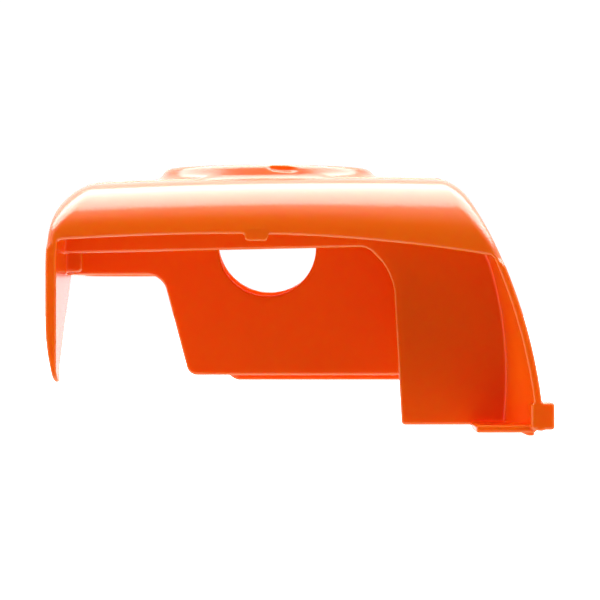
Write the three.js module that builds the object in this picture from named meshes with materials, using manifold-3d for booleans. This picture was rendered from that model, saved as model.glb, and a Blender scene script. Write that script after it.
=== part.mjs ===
// Top cover of a small engine's air filter housing, with its captive quarter-turn lock.
// Millimetres, +Z up. X runs across the cover, the open mouth faces -Y, the back faces +Y.
// The origin is the middle of the base: z = 0 is the lowest point of the cover.
import * as THREE from 'three';
import { mergeVertices } from 'three/addons/utils/BufferGeometryUtils.js';
import Module from 'manifold-3d';

const wasm = await Module();
wasm.setup();

// ---- Overall form ----
const LENGTH = 124;            // mouth to back
const LEFT_X = -75.5;          // outer face of the left side
const RIGHT_X = 72.6;          // outer face of the right skirt at its foot
const ROOF_Z = 77.3;           // height of the brow's crest
const WALL = 2.4;              // moulded wall
const LEFT_WALL = 3.2;         // the left side is moulded a little thicker
const FIT_GAP = 0.3;           // clearance between pieces that seat on each other

// ---- Roof, brow and sides ----
const CROWN = 0.00035;         // sideways crown of the roof, per millimetre
const CROWN_X = 8;             // where the crown peaks
const ROOF_RISE = 1.3;         // climb of the roof from the brow to the boss
const DECK_STEP = 0.8;         // raised panel behind the brow
const DECK_START = 31;         // distance of that step from the mouth
const DECK_LEFT = 8.5;         // deck edge in from the left side
const STEP_RUN = 1.6;          // width of the deck's sloping edge
const BROW_RUN = 24;           // distance over which the brow rolls down to its rim
const RIM_Z = 59.9;            // rim of the brow at its highest point
const RIM_X = -20;             // where the rim is highest
const RIM_FALL_LEFT = 0.00066; // fall of the rim to the left, per millimetre
const RIM_FALL_RIGHT = 0.00109;
const LEFT_LEAN_Z = 50;        // the left side leans inwards above this height
const LEFT_LEAN = 0.007;
const TONGUE_CURL_Z = 34;      // and curls inwards below this one
const TONGUE_CURL = 0.0075;
const TONGUE_EDGE = 1.5;       // thickness of the tongue at its tip
const SIDE_SLOPE = 0.05;       // lean of the right side
const SIDE_BULGE = 0.0036;
const FLARE = 8.3;             // how far the foot of the right skirt flares at the mouth
const FLARE_TOP_Z = 52;
const FLARE_POWER = 1.2;
const FLARE_RUN = 25;
const LEFT_CORNER = 9;         // radius between roof and left side
const RIGHT_CORNER = 4.5;      // radius between roof and right side
const REAR_CORNER = 13;        // radius between the back and everything round it

// ---- Lower edges ----
const TONGUE_TIP_Z = 15.8;
const TONGUE_TIP_RUN = 9;
const TONGUE_RUN = 53;
const LEFT_EDGE_Z = 48.3;      // lower edge of the left side behind the tongue
const RIGHT_EDGE_Z = 1.5;
const RIGHT_EDGE_RUN = 34;
const REAR_EDGE_Z = 13;
const REAR_SLOPE = [-44, -24]; // where the back's lower edge climbs to the left

// ---- Partitions ----
const FRAME_AT = 25;           // front frame, from the mouth
const FRAME_THICK = 2.2;
const FRAME_EDGE_Z = [54.6, 56.5];
const FRAME_EDGE_X = [-69.6, 20.5];
const FRAME_KNEE = [28.4, 48.6];
const FRAME_FOOT = [31.1, 2.2];
const STUB_AT = 34;            // short rib on the left side
const STUB_WIDTH = 5.1;
const STUB_EDGE_Z = 48.9;
const PARTITION_AT = 49;       // main partition, from the mouth
const PARTITION_THICK = 2.2;
const PARTITION_EDGE_Z = 16.7;
const PARTITION_SHOULDER = [-43.2, 48.2];
const PARTITION_HEEL_X = -34.2;
const PORT_Z = 56.8;           // round air port through the partition
const PORT_RADIUS = 15.2;
const REAR_PORT_Z = 60.6;      // wider mouth of the duct through the back
const REAR_PORT_RADIUS = 17.6;
const REAR_PORT_TOP_Z = 67;
const ROOF_RIB_HEIGHT = 3.2;
const ROOF_RIB_THICK = 1.6;
const ROOF_RIBS_X = [-52, 38];

// ---- Small features of the moulding ----
const RIM_TAB_X = -12.9;
const RIM_TAB_WIDTH = 7.3;
const RIM_TAB_DROP = 1.9;
const RIM_TAB_THICK = 2.2;
const LEDGE_X = [52.4, 70];
const LEDGE_Z = [0.9, 3.1];
const LEDGE_RUN = [2, 26];
const LUG_X = [65.4, 69.6];
const LUG_RUN = [3, 11];
const FOOT_Z = [1.8, 9.9];
const FOOT_REACH = 2.9;        // how far the foot stands out from the skirt
const FOOT_RUN = 9;

// ---- Boss and well for the lock ----
const LOCK_X = -10.2;          // the lock's axis, also the middle of both ports
const LOCK_AT = 62;            // distance of the axis from the mouth
const BOSS_RADIUS = 32.4;      // at its top
const BOSS_LEAN = 0.6;         // how fast its wall widens downwards
const BOSS_RISE = 4.6;         // above the brow's crest
const BOSS_ROOT = 3;           // depth to which the boss is joined into the roof
const DISH_DEPTH = 1.4;        // the boss dishes towards the well
const DISH_RADIUS = 30.4;
const WELL_RADIUS = 18.6;
const WELL_DEPTH = 7.3;
const WELL_FLOOR = 2.3;
const NOTCH_X = -4.6;          // oval finger mark in the boss's front wall
const NOTCH_WIDTH = 10;
const NOTCH_DOWN = 0.9;        // its middle, below the boss's top
const NOTCH_HEIGHT = 2.9;
const NOTCH_DEPTH = 1.3;
const NOTCH_OUT = 0.35;        // its middle, in front of the wall

// ---- Lock ----
const STEM_RADIUS = 4;
const STEM_LENGTH = 19.8;
const STEM_BORE = 1.9;         // blind hole for the knob's screw
const STEM_BORE_DEPTH = 9;
const BUSH_WALL = 1.9;
const BUSH_FLANGE_RADIUS = 9.6;
const BUSH_FLANGE = 1.2;
const BUSH_BELOW = 1;          // how far the bush reaches through the well's floor
const KNOB_GAP = 1;            // round the knob, in the well
const KNOB_DISC = 2.0;         // depth of the stem's socket in the knob
const KNOB_WEB = 1.2;          // between that socket and the screw's head
const KNOB_HEIGHT = 4.9;
const KNOB_RIM = 2.2;
const GRIP_WIDTH = 8.4;
const GRIP_WAIST = 1.1;
const SCREW_HEAD_RADIUS = 3.4;
const SCREW_HEAD = 1.2;
const SCREW_RADIUS = 1.6;
const SCREW_LENGTH = 9.4;
const RING_WIRE = 0.5;         // radius of the sealing ring's section
const RING_DOWN = 1.6;         // its depth below the well's floor surface
const SPRING_WIRE = 0.5;
const SPRING_RADIUS = 8.1;
const SPRING_HEIGHT = 6.6;
const SPRING_TURNS = 3.5;
const WASHER_RADIUS = 9.4;
const WASHER_THICK = 1.1;
const CLIP_RADIUS = 6.6;
const CLIP_THICK = 0.8;
const CLIP_GROOVE = 1.0;       // depth of the clip's groove in the stem
const PIN_RADIUS = 1.25;
const PIN_LENGTH = 17.4;
const PIN_UP = 1.9;            // height of the pin's axis above the stem's end

const MOUTH_Y = -LENGTH / 2;
const BOSS_TOP = ROOF_Z + BOSS_RISE;
const FLOOR_TOP = BOSS_TOP - WELL_DEPTH;
const FLOOR_UNDER = FLOOR_TOP - WELL_FLOOR;
const LOCK_Y = MOUTH_Y + LOCK_AT;
const BASE_Z = -8;             // cutters reach below everything
const BEYOND = 5;              // and this far past the faces they cut

// ---- Materials ----
const plastic = (color, roughness) => new THREE.MeshStandardMaterial({ color, roughness, metalness: 0 });
const metal = (color, roughness) => new THREE.MeshStandardMaterial({ color, roughness, metalness: 1 });
const ORANGE = plastic(0xee5a12, 0.25);
const BLACK_NYLON = plastic(0x25272a, 0.45);
const WHITE_ACETAL = plastic(0xe4e2da, 0.4);
const RUBBER = plastic(0x141414, 0.8);
const ZINC_STEEL = metal(0xb9bcc0, 0.35);
const SPRING_STEEL = metal(0x8d9096, 0.3);

// ---- Solids ----
const smooth = (t) => {
  const u = Math.min(Math.max(t, 0), 1);
  return u * u * (3 - 2 * u);
};
const between = (a, b, t) => a + (b - a) * t;

function solid(geometry) {
  const bare = geometry.index ? geometry.clone() : geometry;
  bare.deleteAttribute('normal');
  bare.deleteAttribute('uv');
  const merged = mergeVertices(bare, 1e-4);
  const mesh = new wasm.Mesh({
    numProp: 3,
    vertProperties: new Float32Array(merged.attributes.position.array),
    triVerts: new Uint32Array(merged.index.array),
  });
  return new wasm.Manifold(mesh);
}

function geometryOf(body) {
  const { vertProperties, triVerts } = body.getMesh();
  const geometry = new THREE.BufferGeometry();
  geometry.setAttribute('position', new THREE.BufferAttribute(new Float32Array(vertProperties), 3));
  geometry.setIndex(new THREE.BufferAttribute(new Uint32Array(triVerts), 1));
  return geometry;
}

const join = (bodies) => bodies.reduce((sum, body) => sum.add(body));

function box(x, y, z) {
  const geometry = new THREE.BoxGeometry(x[1] - x[0], y[1] - y[0], z[1] - z[0]);
  return solid(geometry.translate((x[0] + x[1]) / 2, (y[0] + y[1]) / 2, (z[0] + z[1]) / 2));
}

function turned(points, segments, x = LOCK_X, y = LOCK_Y) {
  const profile = points.map(([radius, z]) => new THREE.Vector2(radius, z));
  return solid(new THREE.LatheGeometry(profile, segments).rotateX(Math.PI / 2).translate(x, y, 0));
}

function rod(radius, z, segments, x = LOCK_X, y = LOCK_Y) {
  return turned([[0, z[0]], [radius, z[0]], [radius, z[1]], [0, z[1]]], segments, x, y);
}

// A wall parallel to the mouth: an outline in X and Z, from one distance to another.
function upright(shape, from, to, curveSegments = 8) {
  const geometry = new THREE.ExtrudeGeometry(shape, { depth: to - from, bevelEnabled: false, curveSegments });
  return solid(geometry.rotateX(Math.PI / 2).translate(0, MOUTH_Y + to, 0));
}

// A cutter seen from the side: an outline in distance from the mouth and Z, across X.
function sideways(shape, x, curveSegments = 8) {
  const options = { depth: x[1] - x[0], bevelEnabled: false, curveSegments };
  const geometry = new THREE.ExtrudeGeometry(shape, options);
  geometry.rotateX(Math.PI / 2).rotateZ(Math.PI / 2);
  return solid(geometry.translate(x[0], MOUTH_Y, 0));
}

// Closed outline through [x, y, radius] corners, each rounded by its own radius.
function rounded(corners) {
  const shape = new THREE.Shape();
  corners.forEach(([x, y, radius = 0], i) => {
    const here = new THREE.Vector2(x, y);
    const back = new THREE.Vector2(...corners.at(i - 1).slice(0, 2)).sub(here);
    const on = new THREE.Vector2(...corners[(i + 1) % corners.length].slice(0, 2)).sub(here);
    const start = here.clone().addScaledVector(back.normalize(), radius);
    const end = here.clone().addScaledVector(on.normalize(), radius);
    if (i === 0) shape.moveTo(start.x, start.y);
    else shape.lineTo(start.x, start.y);
    if (radius > 0) shape.quadraticCurveTo(x, y, end.x, end.y);
  });
  shape.closePath();
  return shape;
}

// ---- The outer form as formulas of x, distance from the mouth and z ----
function roofZ(x, run) {
  const crown = CROWN * (x - CROWN_X) ** 2;
  const climb = ROOF_RISE * smooth((run - BROW_RUN) / (LOCK_AT - BROW_RUN));
  const deck = smooth((run - DECK_START) / STEP_RUN) * smooth((x - LEFT_X - DECK_LEFT) / STEP_RUN);
  return ROOF_Z - crown + climb + DECK_STEP * deck;
}

function rimZ(x) {
  const fall = x < RIM_X ? RIM_FALL_LEFT : RIM_FALL_RIGHT;
  return RIM_Z - fall * (x - RIM_X) ** 2;
}

// Top of the section: an elliptical roll from the rim up to the roof, set in by a wall or not.
function topZ(x, run, inset) {
  const rim = rimZ(x);
  const height = roofZ(x, run) - inset - rim;
  if (run >= BROW_RUN) return rim + height;
  const reach = Math.min((BROW_RUN - run) / (BROW_RUN - inset), 1);
  return rim + height * Math.sqrt(1 - reach * reach);
}

function leftX(z, inset) {
  const lean = LEFT_LEAN * Math.max(z - LEFT_LEAN_Z, 0) ** 2;
  const curl = TONGUE_CURL * Math.max(TONGUE_CURL_Z - z, 0) ** 2;
  const inner = Math.max(LEFT_X + LEFT_WALL, LEFT_X + curl + TONGUE_EDGE);
  return inset ? inner + lean : LEFT_X + lean + curl;
}

function rightX(z, run, inset) {
  const low = Math.max(z, 0);
  const near = RIGHT_X - SIDE_SLOPE * low - SIDE_BULGE * low * low;
  const flare = FLARE * Math.max(1 - low / FLARE_TOP_Z, 0) ** FLARE_POWER;
  return near - flare * smooth(run / FLARE_RUN) - inset;
}

const roundedMax = (a, b, radius) =>
  Math.min(Math.max(a, b), -radius) + Math.hypot(Math.max(a + radius, 0), Math.max(b + radius, 0));

// Negative inside the cover's form, in millimetres near its faces.
function form(x, run, z, inset) {
  const side = Math.max(leftX(z, inset) - x, x - rightX(z, run, inset));
  const corner = (x < 0 ? LEFT_CORNER : RIGHT_CORNER) - inset;
  const section = roundedMax(z - topZ(x, run, inset), side, corner);
  const rear = run - (LENGTH - inset);
  return roundedMax(section, rear, REAR_CORNER - inset);
}

// One ring of the form: rays from a middle point, each followed out to the surface.
const RING_MIDDLE = [-8, 30];
const RING_REACH = 200;
const RING_HALVINGS = 40;
// Where the rays go: heights up the left side, places across the roof, heights down the right side.
const LEFT_STOPS = [BASE_Z, 2, 12, 20, 28, 36, 46, 56, 62, 66, 69, 71, 73, 75];
const ROOF_STOPS = [-72, -69, -67.6, -66.2, -64, -58, -48, -36, -22, -8, 6, 20, 32, 40, 45, 48, 50];
const RIGHT_STOPS = [74, 71, 66, 60, 54, 46, 38, 30, 22, 15, 8, 2, BASE_Z];

function ringTargets(run, inset) {
  const points = [];
  for (const z of LEFT_STOPS) {
    points.push([leftX(z, inset), Math.min(z, topZ(LEFT_X, run, inset))]);
  }
  for (const x of ROOF_STOPS) {
    points.push([x, topZ(x, run, inset)]);
  }
  for (const z of RIGHT_STOPS) {
    points.push([rightX(z, run, inset), Math.min(z, topZ(RIGHT_X, run, inset))]);
  }
  return points;
}

function ring(run, inset) {
  const [x0, z0] = RING_MIDDLE;
  const angles = ringTargets(run, inset).map(([x, z]) => Math.atan2(z - z0, x - x0));
  const turn = angles.map((a) => (a > -Math.PI / 2 ? a : a + 2 * Math.PI));
  turn.sort((a, b) => a - b);
  return turn.map((angle) => {
    const [dx, dz] = [Math.cos(angle), Math.sin(angle)];
    const limit = dz < 0 ? (BASE_Z - z0) / dz : RING_REACH;
    let [inside, outside] = [0, Math.min(limit, RING_REACH)];
    if (form(x0 + outside * dx, run, z0 + outside * dz, inset) > 0) {
      for (let i = 0; i < RING_HALVINGS; i += 1) {
        const middle = (inside + outside) / 2;
        if (form(x0 + middle * dx, run, z0 + middle * dz, inset) > 0) outside = middle;
        else inside = middle;
      }
    }
    return [x0 + outside * dx, MOUTH_Y + run, z0 + outside * dz];
  });
}

function loft(rings) {
  const count = rings[0].length;
  const points = rings.flat();
  const faces = [];
  for (let r = 0; r < rings.length - 1; r += 1) {
    for (let i = 0; i < count; i += 1) {
      const a = r * count + i;
      const b = r * count + ((i + 1) % count);
      faces.push(a, a + count, b, b, a + count, b + count);
    }
  }
  const ends = [[0, false], [rings.length - 1, true]];
  for (const [r, last] of ends) {
    const middle = points.length;
    points.push([RING_MIDDLE[0], rings[r][0][1], RING_MIDDLE[1]]);
    for (let i = 0; i < count; i += 1) {
      const a = r * count + i;
      const b = r * count + ((i + 1) % count);
      if (last) faces.push(middle, b, a);
      else faces.push(middle, a, b);
    }
  }
  const geometry = new THREE.BufferGeometry();
  geometry.setAttribute('position', new THREE.BufferAttribute(new Float32Array(points.flat()), 3));
  geometry.setIndex(faces);
  return solid(geometry);
}

function formSolid(inset) {
  const front = inset ? [-1, inset] : [0];
  const brow = [0.02, 0.07, 0.15, 0.27, 0.44, 0.65, 0.85].map((t) => between(inset, BROW_RUN, t));
  const stepEnd = DECK_START + STEP_RUN;
  const middle = [
    BROW_RUN, DECK_START, stepEnd, between(stepEnd, LOCK_AT, 0.5), LOCK_AT,
    between(LOCK_AT, LENGTH - REAR_CORNER, 0.5)];
  const roll = [0, 20, 40, 57, 72, 82, 88].map((degrees) => (
    LENGTH - REAR_CORNER + (REAR_CORNER - inset) * Math.sin(THREE.MathUtils.degToRad(degrees))));
  return loft([...front, ...brow, ...middle, ...roll].map((run) => ring(run, inset)));
}

// ---- The moulded cover ----
function lowerEdges() {
  const [x0, x1] = [LEFT_X - BEYOND, LEFT_X + 30];
  const tip = TONGUE_TIP_Z;
  const left = rounded([
    [-BEYOND, BASE_Z - 1], [-BEYOND, tip], [TONGUE_TIP_RUN, tip, 3], [TONGUE_TIP_RUN + 22, tip + 16, 8],
    [TONGUE_RUN, LEFT_EDGE_Z - 2.3, 4], [TONGUE_RUN + 3, LEFT_EDGE_Z, 1], [LENGTH + BEYOND, LEFT_EDGE_Z],
    [LENGTH + BEYOND, BASE_Z - 1]]);
  const right = rounded([
    [-BEYOND, BASE_Z - 1], [-BEYOND, RIGHT_EDGE_Z], [RIGHT_EDGE_RUN, RIGHT_EDGE_Z, 4],
    [RIGHT_EDGE_RUN + 18, REAR_EDGE_Z, 6], [LENGTH + BEYOND, REAR_EDGE_Z], [LENGTH + BEYOND, BASE_Z - 1]]);
  const rear = rounded([
    [LEFT_X - BEYOND, BASE_Z - 1], [LEFT_X - BEYOND, LEFT_EDGE_Z], [REAR_SLOPE[0], LEFT_EDGE_Z, 4],
    [REAR_SLOPE[1], REAR_EDGE_Z, 4], [RIGHT_X + 2 * BEYOND, REAR_EDGE_Z],
    [RIGHT_X + 2 * BEYOND, BASE_Z - 1]]);
  return join([
    sideways(left, [x0, x1], 4),
    sideways(right, [RIGHT_X - 25, RIGHT_X + 2 * BEYOND], 4),
    upright(rear, LENGTH - REAR_CORNER - 4, LENGTH + BEYOND, 4)]);
}

function frontFrame() {
  const [left, right] = FRAME_EDGE_X;
  const outline = rounded([
    [left - 20, FRAME_EDGE_Z[0] - 0.2], [left + 14, FRAME_EDGE_Z[0] + 0.5], [right, FRAME_EDGE_Z[1], 1.5],
    [...FRAME_KNEE, 4], FRAME_FOOT, [RIGHT_X + 20, FRAME_FOOT[1]], [RIGHT_X + 20, BOSS_TOP],
    [left - 20, BOSS_TOP]]);
  return upright(outline, FRAME_AT, FRAME_AT + FRAME_THICK, 4);
}

function sideStub() {
  const inner = LEFT_X + LEFT_WALL + STUB_WIDTH;
  const outline = rounded([
    [LEFT_X - BEYOND, STUB_EDGE_Z], [inner, STUB_EDGE_Z, 1.5], [inner, BOSS_TOP],
    [LEFT_X - BEYOND, BOSS_TOP]]);
  return upright(outline, STUB_AT, STUB_AT + FRAME_THICK, 4);
}

function mainPartition() {
  const [x, z] = PARTITION_SHOULDER;
  const outline = rounded([
    [LEFT_X - BEYOND, z], [x, z, 4.5], [PARTITION_HEEL_X - 0.7, PARTITION_EDGE_Z, 2.5],
    [RIGHT_X + 2 * BEYOND, PARTITION_EDGE_Z], [RIGHT_X + 2 * BEYOND, BOSS_TOP], [LEFT_X - BEYOND, BOSS_TOP]]);
  const port = new THREE.Path().absarc(LOCK_X, PORT_Z, PORT_RADIUS, 0, 2 * Math.PI, true);
  outline.holes.push(port);
  return upright(outline, PARTITION_AT, PARTITION_AT + PARTITION_THICK, 24);
}

function rearPort() {
  const rise = REAR_PORT_TOP_Z - REAR_PORT_Z;
  const start = Math.asin(rise / REAR_PORT_RADIUS);
  const shape = new THREE.Shape();
  shape.absarc(LOCK_X, REAR_PORT_Z, REAR_PORT_RADIUS, start, Math.PI - start, true);
  shape.closePath();
  return upright(shape, LENGTH - REAR_CORNER - 2, LENGTH + BEYOND, 24);
}

function roofRibs() {
  const under = ROOF_Z - WALL - ROOF_RIB_HEIGHT;
  const y = [MOUTH_Y + FRAME_AT + 1, MOUTH_Y + LENGTH - WALL - 2];
  return join(ROOF_RIBS_X.map((x) => {
    const drop = CROWN * (x - CROWN_X) ** 2;
    return box([x - ROOF_RIB_THICK / 2, x + ROOF_RIB_THICK / 2], y, [under - drop, BOSS_TOP]);
  }));
}

function mouthFeatures() {
  const tabTop = rimZ(RIM_TAB_X) + 1.5;
  const tabFoot = tabTop - 1.5 - RIM_TAB_DROP;
  const half = RIM_TAB_WIDTH / 2;
  const tab = upright(rounded([
    [RIM_TAB_X - half, tabTop], [RIM_TAB_X - half + 0.5, tabFoot, 0.9],
    [RIM_TAB_X + half - 0.5, tabFoot, 0.9], [RIM_TAB_X + half, tabTop]]), 0.05, RIM_TAB_THICK, 3);
  const skirtX = RIGHT_X - WALL / 2;
  const foot = upright(rounded([
    [skirtX - 2, FOOT_Z[0]], [RIGHT_X + FOOT_REACH, FOOT_Z[0], 0.8],
    [RIGHT_X + FOOT_REACH, FOOT_Z[1], 1.6], [skirtX - 2, FOOT_Z[1]]]), 0, FOOT_RUN, 3);
  const ledge = box(LEDGE_X, LEDGE_RUN.map((run) => MOUTH_Y + run), LEDGE_Z);
  const lugTop = LEDGE_Z[0] + 0.2;
  const lug = upright(rounded([
    [LUG_X[0], lugTop], [LUG_X[0] + 2.2, 0, 0.8], [LUG_X[1], 0, 0.3], [LUG_X[1], lugTop]]), ...LUG_RUN, 3);
  return join([tab, foot, ledge, lug]);
}

function boss() {
  const [r, top] = [BOSS_RADIUS, BOSS_TOP];
  const foot = ROOF_Z - BOSS_ROOT;
  return turned([
    [0, foot], [r + BOSS_LEAN * (top - foot), foot], [r + BOSS_LEAN * 0.8, top - 0.8],
    [r - 0.2, top - 0.25], [r - 1.1, top], [DISH_RADIUS, top], [WELL_RADIUS + 2, top - DISH_DEPTH],
    [0, top - DISH_DEPTH]], 72);
}

function bossHollow() {
  const inner = WELL_RADIUS + WALL;
  const outer = BOSS_RADIUS - WALL;
  const top = BOSS_TOP - DISH_DEPTH - WALL;
  const foot = ROOF_Z - WALL - BOSS_ROOT;
  return turned([[inner, foot], [outer, foot], [outer, top], [inner, top], [inner, foot]], 72);
}

function well() {
  const cup = rod(WELL_RADIUS + WALL, [FLOOR_UNDER, BOSS_TOP - DISH_DEPTH - 0.5], 72);
  const inside = rod(WELL_RADIUS, [FLOOR_TOP, BOSS_TOP + 2], 72);
  const bore = rod(STEM_RADIUS + FIT_GAP + BUSH_WALL + FIT_GAP, [FLOOR_UNDER - 2, FLOOR_TOP + 1], 40);
  return { cup, openings: join([inside, bore]) };
}

function fingerNotch() {
  const scale = [NOTCH_WIDTH / 2, NOTCH_DEPTH, NOTCH_HEIGHT / 2];
  const wall = Math.sqrt((BOSS_RADIUS + BOSS_LEAN * NOTCH_DOWN) ** 2 - (NOTCH_X - LOCK_X) ** 2);
  const geometry = new THREE.SphereGeometry(1, 20, 12).scale(...scale);
  return solid(geometry.translate(NOTCH_X, LOCK_Y - wall - NOTCH_OUT, BOSS_TOP - NOTCH_DOWN));
}

function coverShell() {
  const outer = formSolid(0).add(boss());
  const hollow = bossHollow().intersect(formSolid(0));
  const shell = outer.subtract(formSolid(WALL)).subtract(hollow);
  const inside = formSolid(0.8);
  const walls = join([frontFrame(), sideStub(), mainPartition(), roofRibs()]);
  const { cup, openings } = well();
  return join([shell, walls.intersect(inside), cup])
    .subtract(lowerEdges())
    .add(mouthFeatures())
    .subtract(rearPort())
    .subtract(openings)
    .subtract(fingerNotch());
}

// ---- The lock, from the knob down ----
const BUSH_TOP = FLOOR_TOP + FIT_GAP + BUSH_FLANGE;
const KNOB_UNDER = BUSH_TOP + FIT_GAP;
const KNOB_TOP = KNOB_UNDER + KNOB_HEIGHT;
const STEM_TOP = KNOB_UNDER + KNOB_DISC - FIT_GAP;
const STEM_END = STEM_TOP - STEM_LENGTH;
const SPRING_TOP = FLOOR_UNDER - FIT_GAP;
const WASHER_TOP = SPRING_TOP - SPRING_HEIGHT - FIT_GAP;
const CLIP_TOP = WASHER_TOP - WASHER_THICK - FIT_GAP;

function lockKnob() {
  const radius = WELL_RADIUS - KNOB_GAP;
  const dishTop = KNOB_UNDER + KNOB_DISC + 0.6;
  const body = turned([
    [0, KNOB_UNDER], [radius - 0.5, KNOB_UNDER], [radius, KNOB_UNDER + 0.5], [radius, KNOB_TOP - 0.8],
    [radius - 0.8, KNOB_TOP], [radius - KNOB_RIM, KNOB_TOP], [radius - KNOB_RIM - 1.2, dishTop],
    [0, dishTop]], 60);
  const half = GRIP_WIDTH / 2;
  const shape = new THREE.Shape();
  shape.moveTo(-radius + 1.4, -half);
  shape.quadraticCurveTo(0, -half + 2 * GRIP_WAIST, radius - 1.4, -half);
  shape.lineTo(radius - 1.4, half);
  shape.quadraticCurveTo(0, half - 2 * GRIP_WAIST, -radius + 1.4, half);
  shape.closePath();
  const bar = new THREE.ExtrudeGeometry(shape, { depth: KNOB_TOP - KNOB_UNDER - 1, bevelEnabled: false });
  const grip = solid(bar.translate(LOCK_X, LOCK_Y, KNOB_UNDER + 1));
  const socket = rod(STEM_RADIUS + FIT_GAP, [KNOB_UNDER - 1, KNOB_UNDER + KNOB_DISC], 32);
  const seat = rod(SCREW_HEAD_RADIUS + FIT_GAP, [screwSeatZ() - FIT_GAP, KNOB_TOP + 1], 32);
  const hole = rod(SCREW_RADIUS + FIT_GAP, [KNOB_UNDER, KNOB_TOP], 24);
  return join([body, grip]).subtract(join([socket, seat, hole]));
}

const screwSeatZ = () => KNOB_UNDER + KNOB_DISC + KNOB_WEB + FIT_GAP;

function knobScrew() {
  const [seat, head] = [screwSeatZ(), screwSeatZ() + SCREW_HEAD];
  const tip = seat - SCREW_LENGTH;
  const body = turned([
    [0, tip], [SCREW_RADIUS - 0.4, tip], [SCREW_RADIUS, tip + 0.5],
    [SCREW_RADIUS, seat], [SCREW_HEAD_RADIUS, seat], [SCREW_HEAD_RADIUS, head - 0.5],
    [SCREW_HEAD_RADIUS - 0.5, head], [0, head]], 32);
  const slots = [0, Math.PI / 2].map((angle) => {
    const slot = new THREE.BoxGeometry(3.6, 0.8, 1.6).rotateZ(angle + Math.PI / 4);
    return solid(slot.translate(LOCK_X, LOCK_Y, head));
  });
  return body.subtract(join(slots));
}

function lockStem() {
  const ringZ = FLOOR_TOP - RING_DOWN;
  const neck = STEM_RADIUS - 2 * RING_WIRE - FIT_GAP;
  const groove = RING_WIRE + FIT_GAP;
  const clipZ = [CLIP_TOP - CLIP_THICK - FIT_GAP, CLIP_TOP + FIT_GAP];
  const body = turned([
    [0, STEM_END], [STEM_RADIUS - 0.8, STEM_END], [STEM_RADIUS, STEM_END + 0.8],
    [STEM_RADIUS, clipZ[0]], [STEM_RADIUS - CLIP_GROOVE, clipZ[0]],
    [STEM_RADIUS - CLIP_GROOVE, clipZ[1]], [STEM_RADIUS, clipZ[1]],
    [STEM_RADIUS, ringZ - groove], [neck, ringZ - groove], [neck, ringZ + groove],
    [STEM_RADIUS, ringZ + groove], [STEM_RADIUS, STEM_TOP - 0.4], [STEM_RADIUS - 0.4, STEM_TOP],
    [0, STEM_TOP]], 36);
  const thread = rod(STEM_BORE, [STEM_TOP - STEM_BORE_DEPTH, STEM_TOP + 1], 24);
  return body.subtract(join([thread, crossPin(FIT_GAP, 4)]));
}

function crossPin(grow = 0, extra = 0) {
  const length = PIN_LENGTH + extra;
  const radius = PIN_RADIUS + grow;
  const half = length / 2;
  const profile = [[0, -half], [radius - 0.3, -half], [radius, -half + 0.3], [radius, half - 0.3],
    [radius - 0.3, half], [0, half]].map(([r, h]) => new THREE.Vector2(r, h));
  const geometry = new THREE.LatheGeometry(profile, 24).rotateZ(-Math.PI / 2);
  return solid(geometry.translate(LOCK_X, LOCK_Y, STEM_END + PIN_UP));
}

function lockBush() {
  const bore = STEM_RADIUS + FIT_GAP;
  const under = FLOOR_TOP + FIT_GAP;
  return turned([
    [bore, FLOOR_UNDER - BUSH_BELOW], [bore + BUSH_WALL, FLOOR_UNDER - BUSH_BELOW],
    [bore + BUSH_WALL, under], [BUSH_FLANGE_RADIUS, under], [BUSH_FLANGE_RADIUS, BUSH_TOP - 0.3],
    [BUSH_FLANGE_RADIUS - 0.3, BUSH_TOP], [bore, BUSH_TOP], [bore, FLOOR_UNDER - BUSH_BELOW]], 40);
}

function sealingRing() {
  const middle = STEM_RADIUS - RING_WIRE;
  const geometry = new THREE.TorusGeometry(middle, RING_WIRE, 10, 40);
  return solid(geometry.translate(LOCK_X, LOCK_Y, FLOOR_TOP - RING_DOWN));
}

class Helix extends THREE.Curve {
  getPoint(t, target = new THREE.Vector3()) {
    const ends = 0.75 / SPRING_TURNS;
    const climb = Math.min(Math.max((t - ends) / (1 - 2 * ends), 0), 1);
    const angle = 2 * Math.PI * SPRING_TURNS * t;
    const low = SPRING_TOP - SPRING_HEIGHT + SPRING_WIRE;
    const closed = SPRING_WIRE * 2.2;
    const run = SPRING_HEIGHT - 2 * SPRING_WIRE - 2 * closed;
    const flat = closed * (Math.min(t / ends, 1) + Math.max((t - 1 + ends) / ends, 0));
    const x = LOCK_X + SPRING_RADIUS * Math.cos(angle);
    const y = LOCK_Y + SPRING_RADIUS * Math.sin(angle);
    return target.set(x, y, low + flat + run * climb);
  }
}

function lockSpring() {
  const section = new THREE.Shape().absarc(0, 0, SPRING_WIRE, 0, 2 * Math.PI);
  const steps = Math.round(SPRING_TURNS * 20);
  return solid(new THREE.ExtrudeGeometry(section, {
    steps, extrudePath: new Helix(), curveSegments: 4, bevelEnabled: false }));
}

function springWasher() {
  const bore = STEM_RADIUS + FIT_GAP;
  const under = WASHER_TOP - WASHER_THICK;
  return turned([[bore, under], [WASHER_RADIUS, under], [WASHER_RADIUS, WASHER_TOP],
    [bore, WASHER_TOP], [bore, under]], 40);
}

function retainingClip() {
  const inner = STEM_RADIUS - CLIP_GROOVE + FIT_GAP;
  const under = CLIP_TOP - CLIP_THICK;
  const ringBody = turned([[inner, under], [CLIP_RADIUS, under], [CLIP_RADIUS, CLIP_TOP],
    [inner, CLIP_TOP], [inner, under]], 40);
  const half = inner * 0.8;
  const gap = box([LOCK_X - half, LOCK_X + half], [LOCK_Y - CLIP_RADIUS - 2, LOCK_Y],
    [under - 1, CLIP_TOP + 1]);
  const windows = [30, 150].map((degrees) => {
    const angle = THREE.MathUtils.degToRad(degrees);
    const reach = (inner + CLIP_RADIUS) / 2 + 0.3;
    return rod(0.7, [under - 1, CLIP_TOP + 1], 16,
      LOCK_X + reach * Math.cos(angle), LOCK_Y + reach * Math.sin(angle));
  });
  return ringBody.subtract(join([gap, ...windows]));
}

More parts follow.
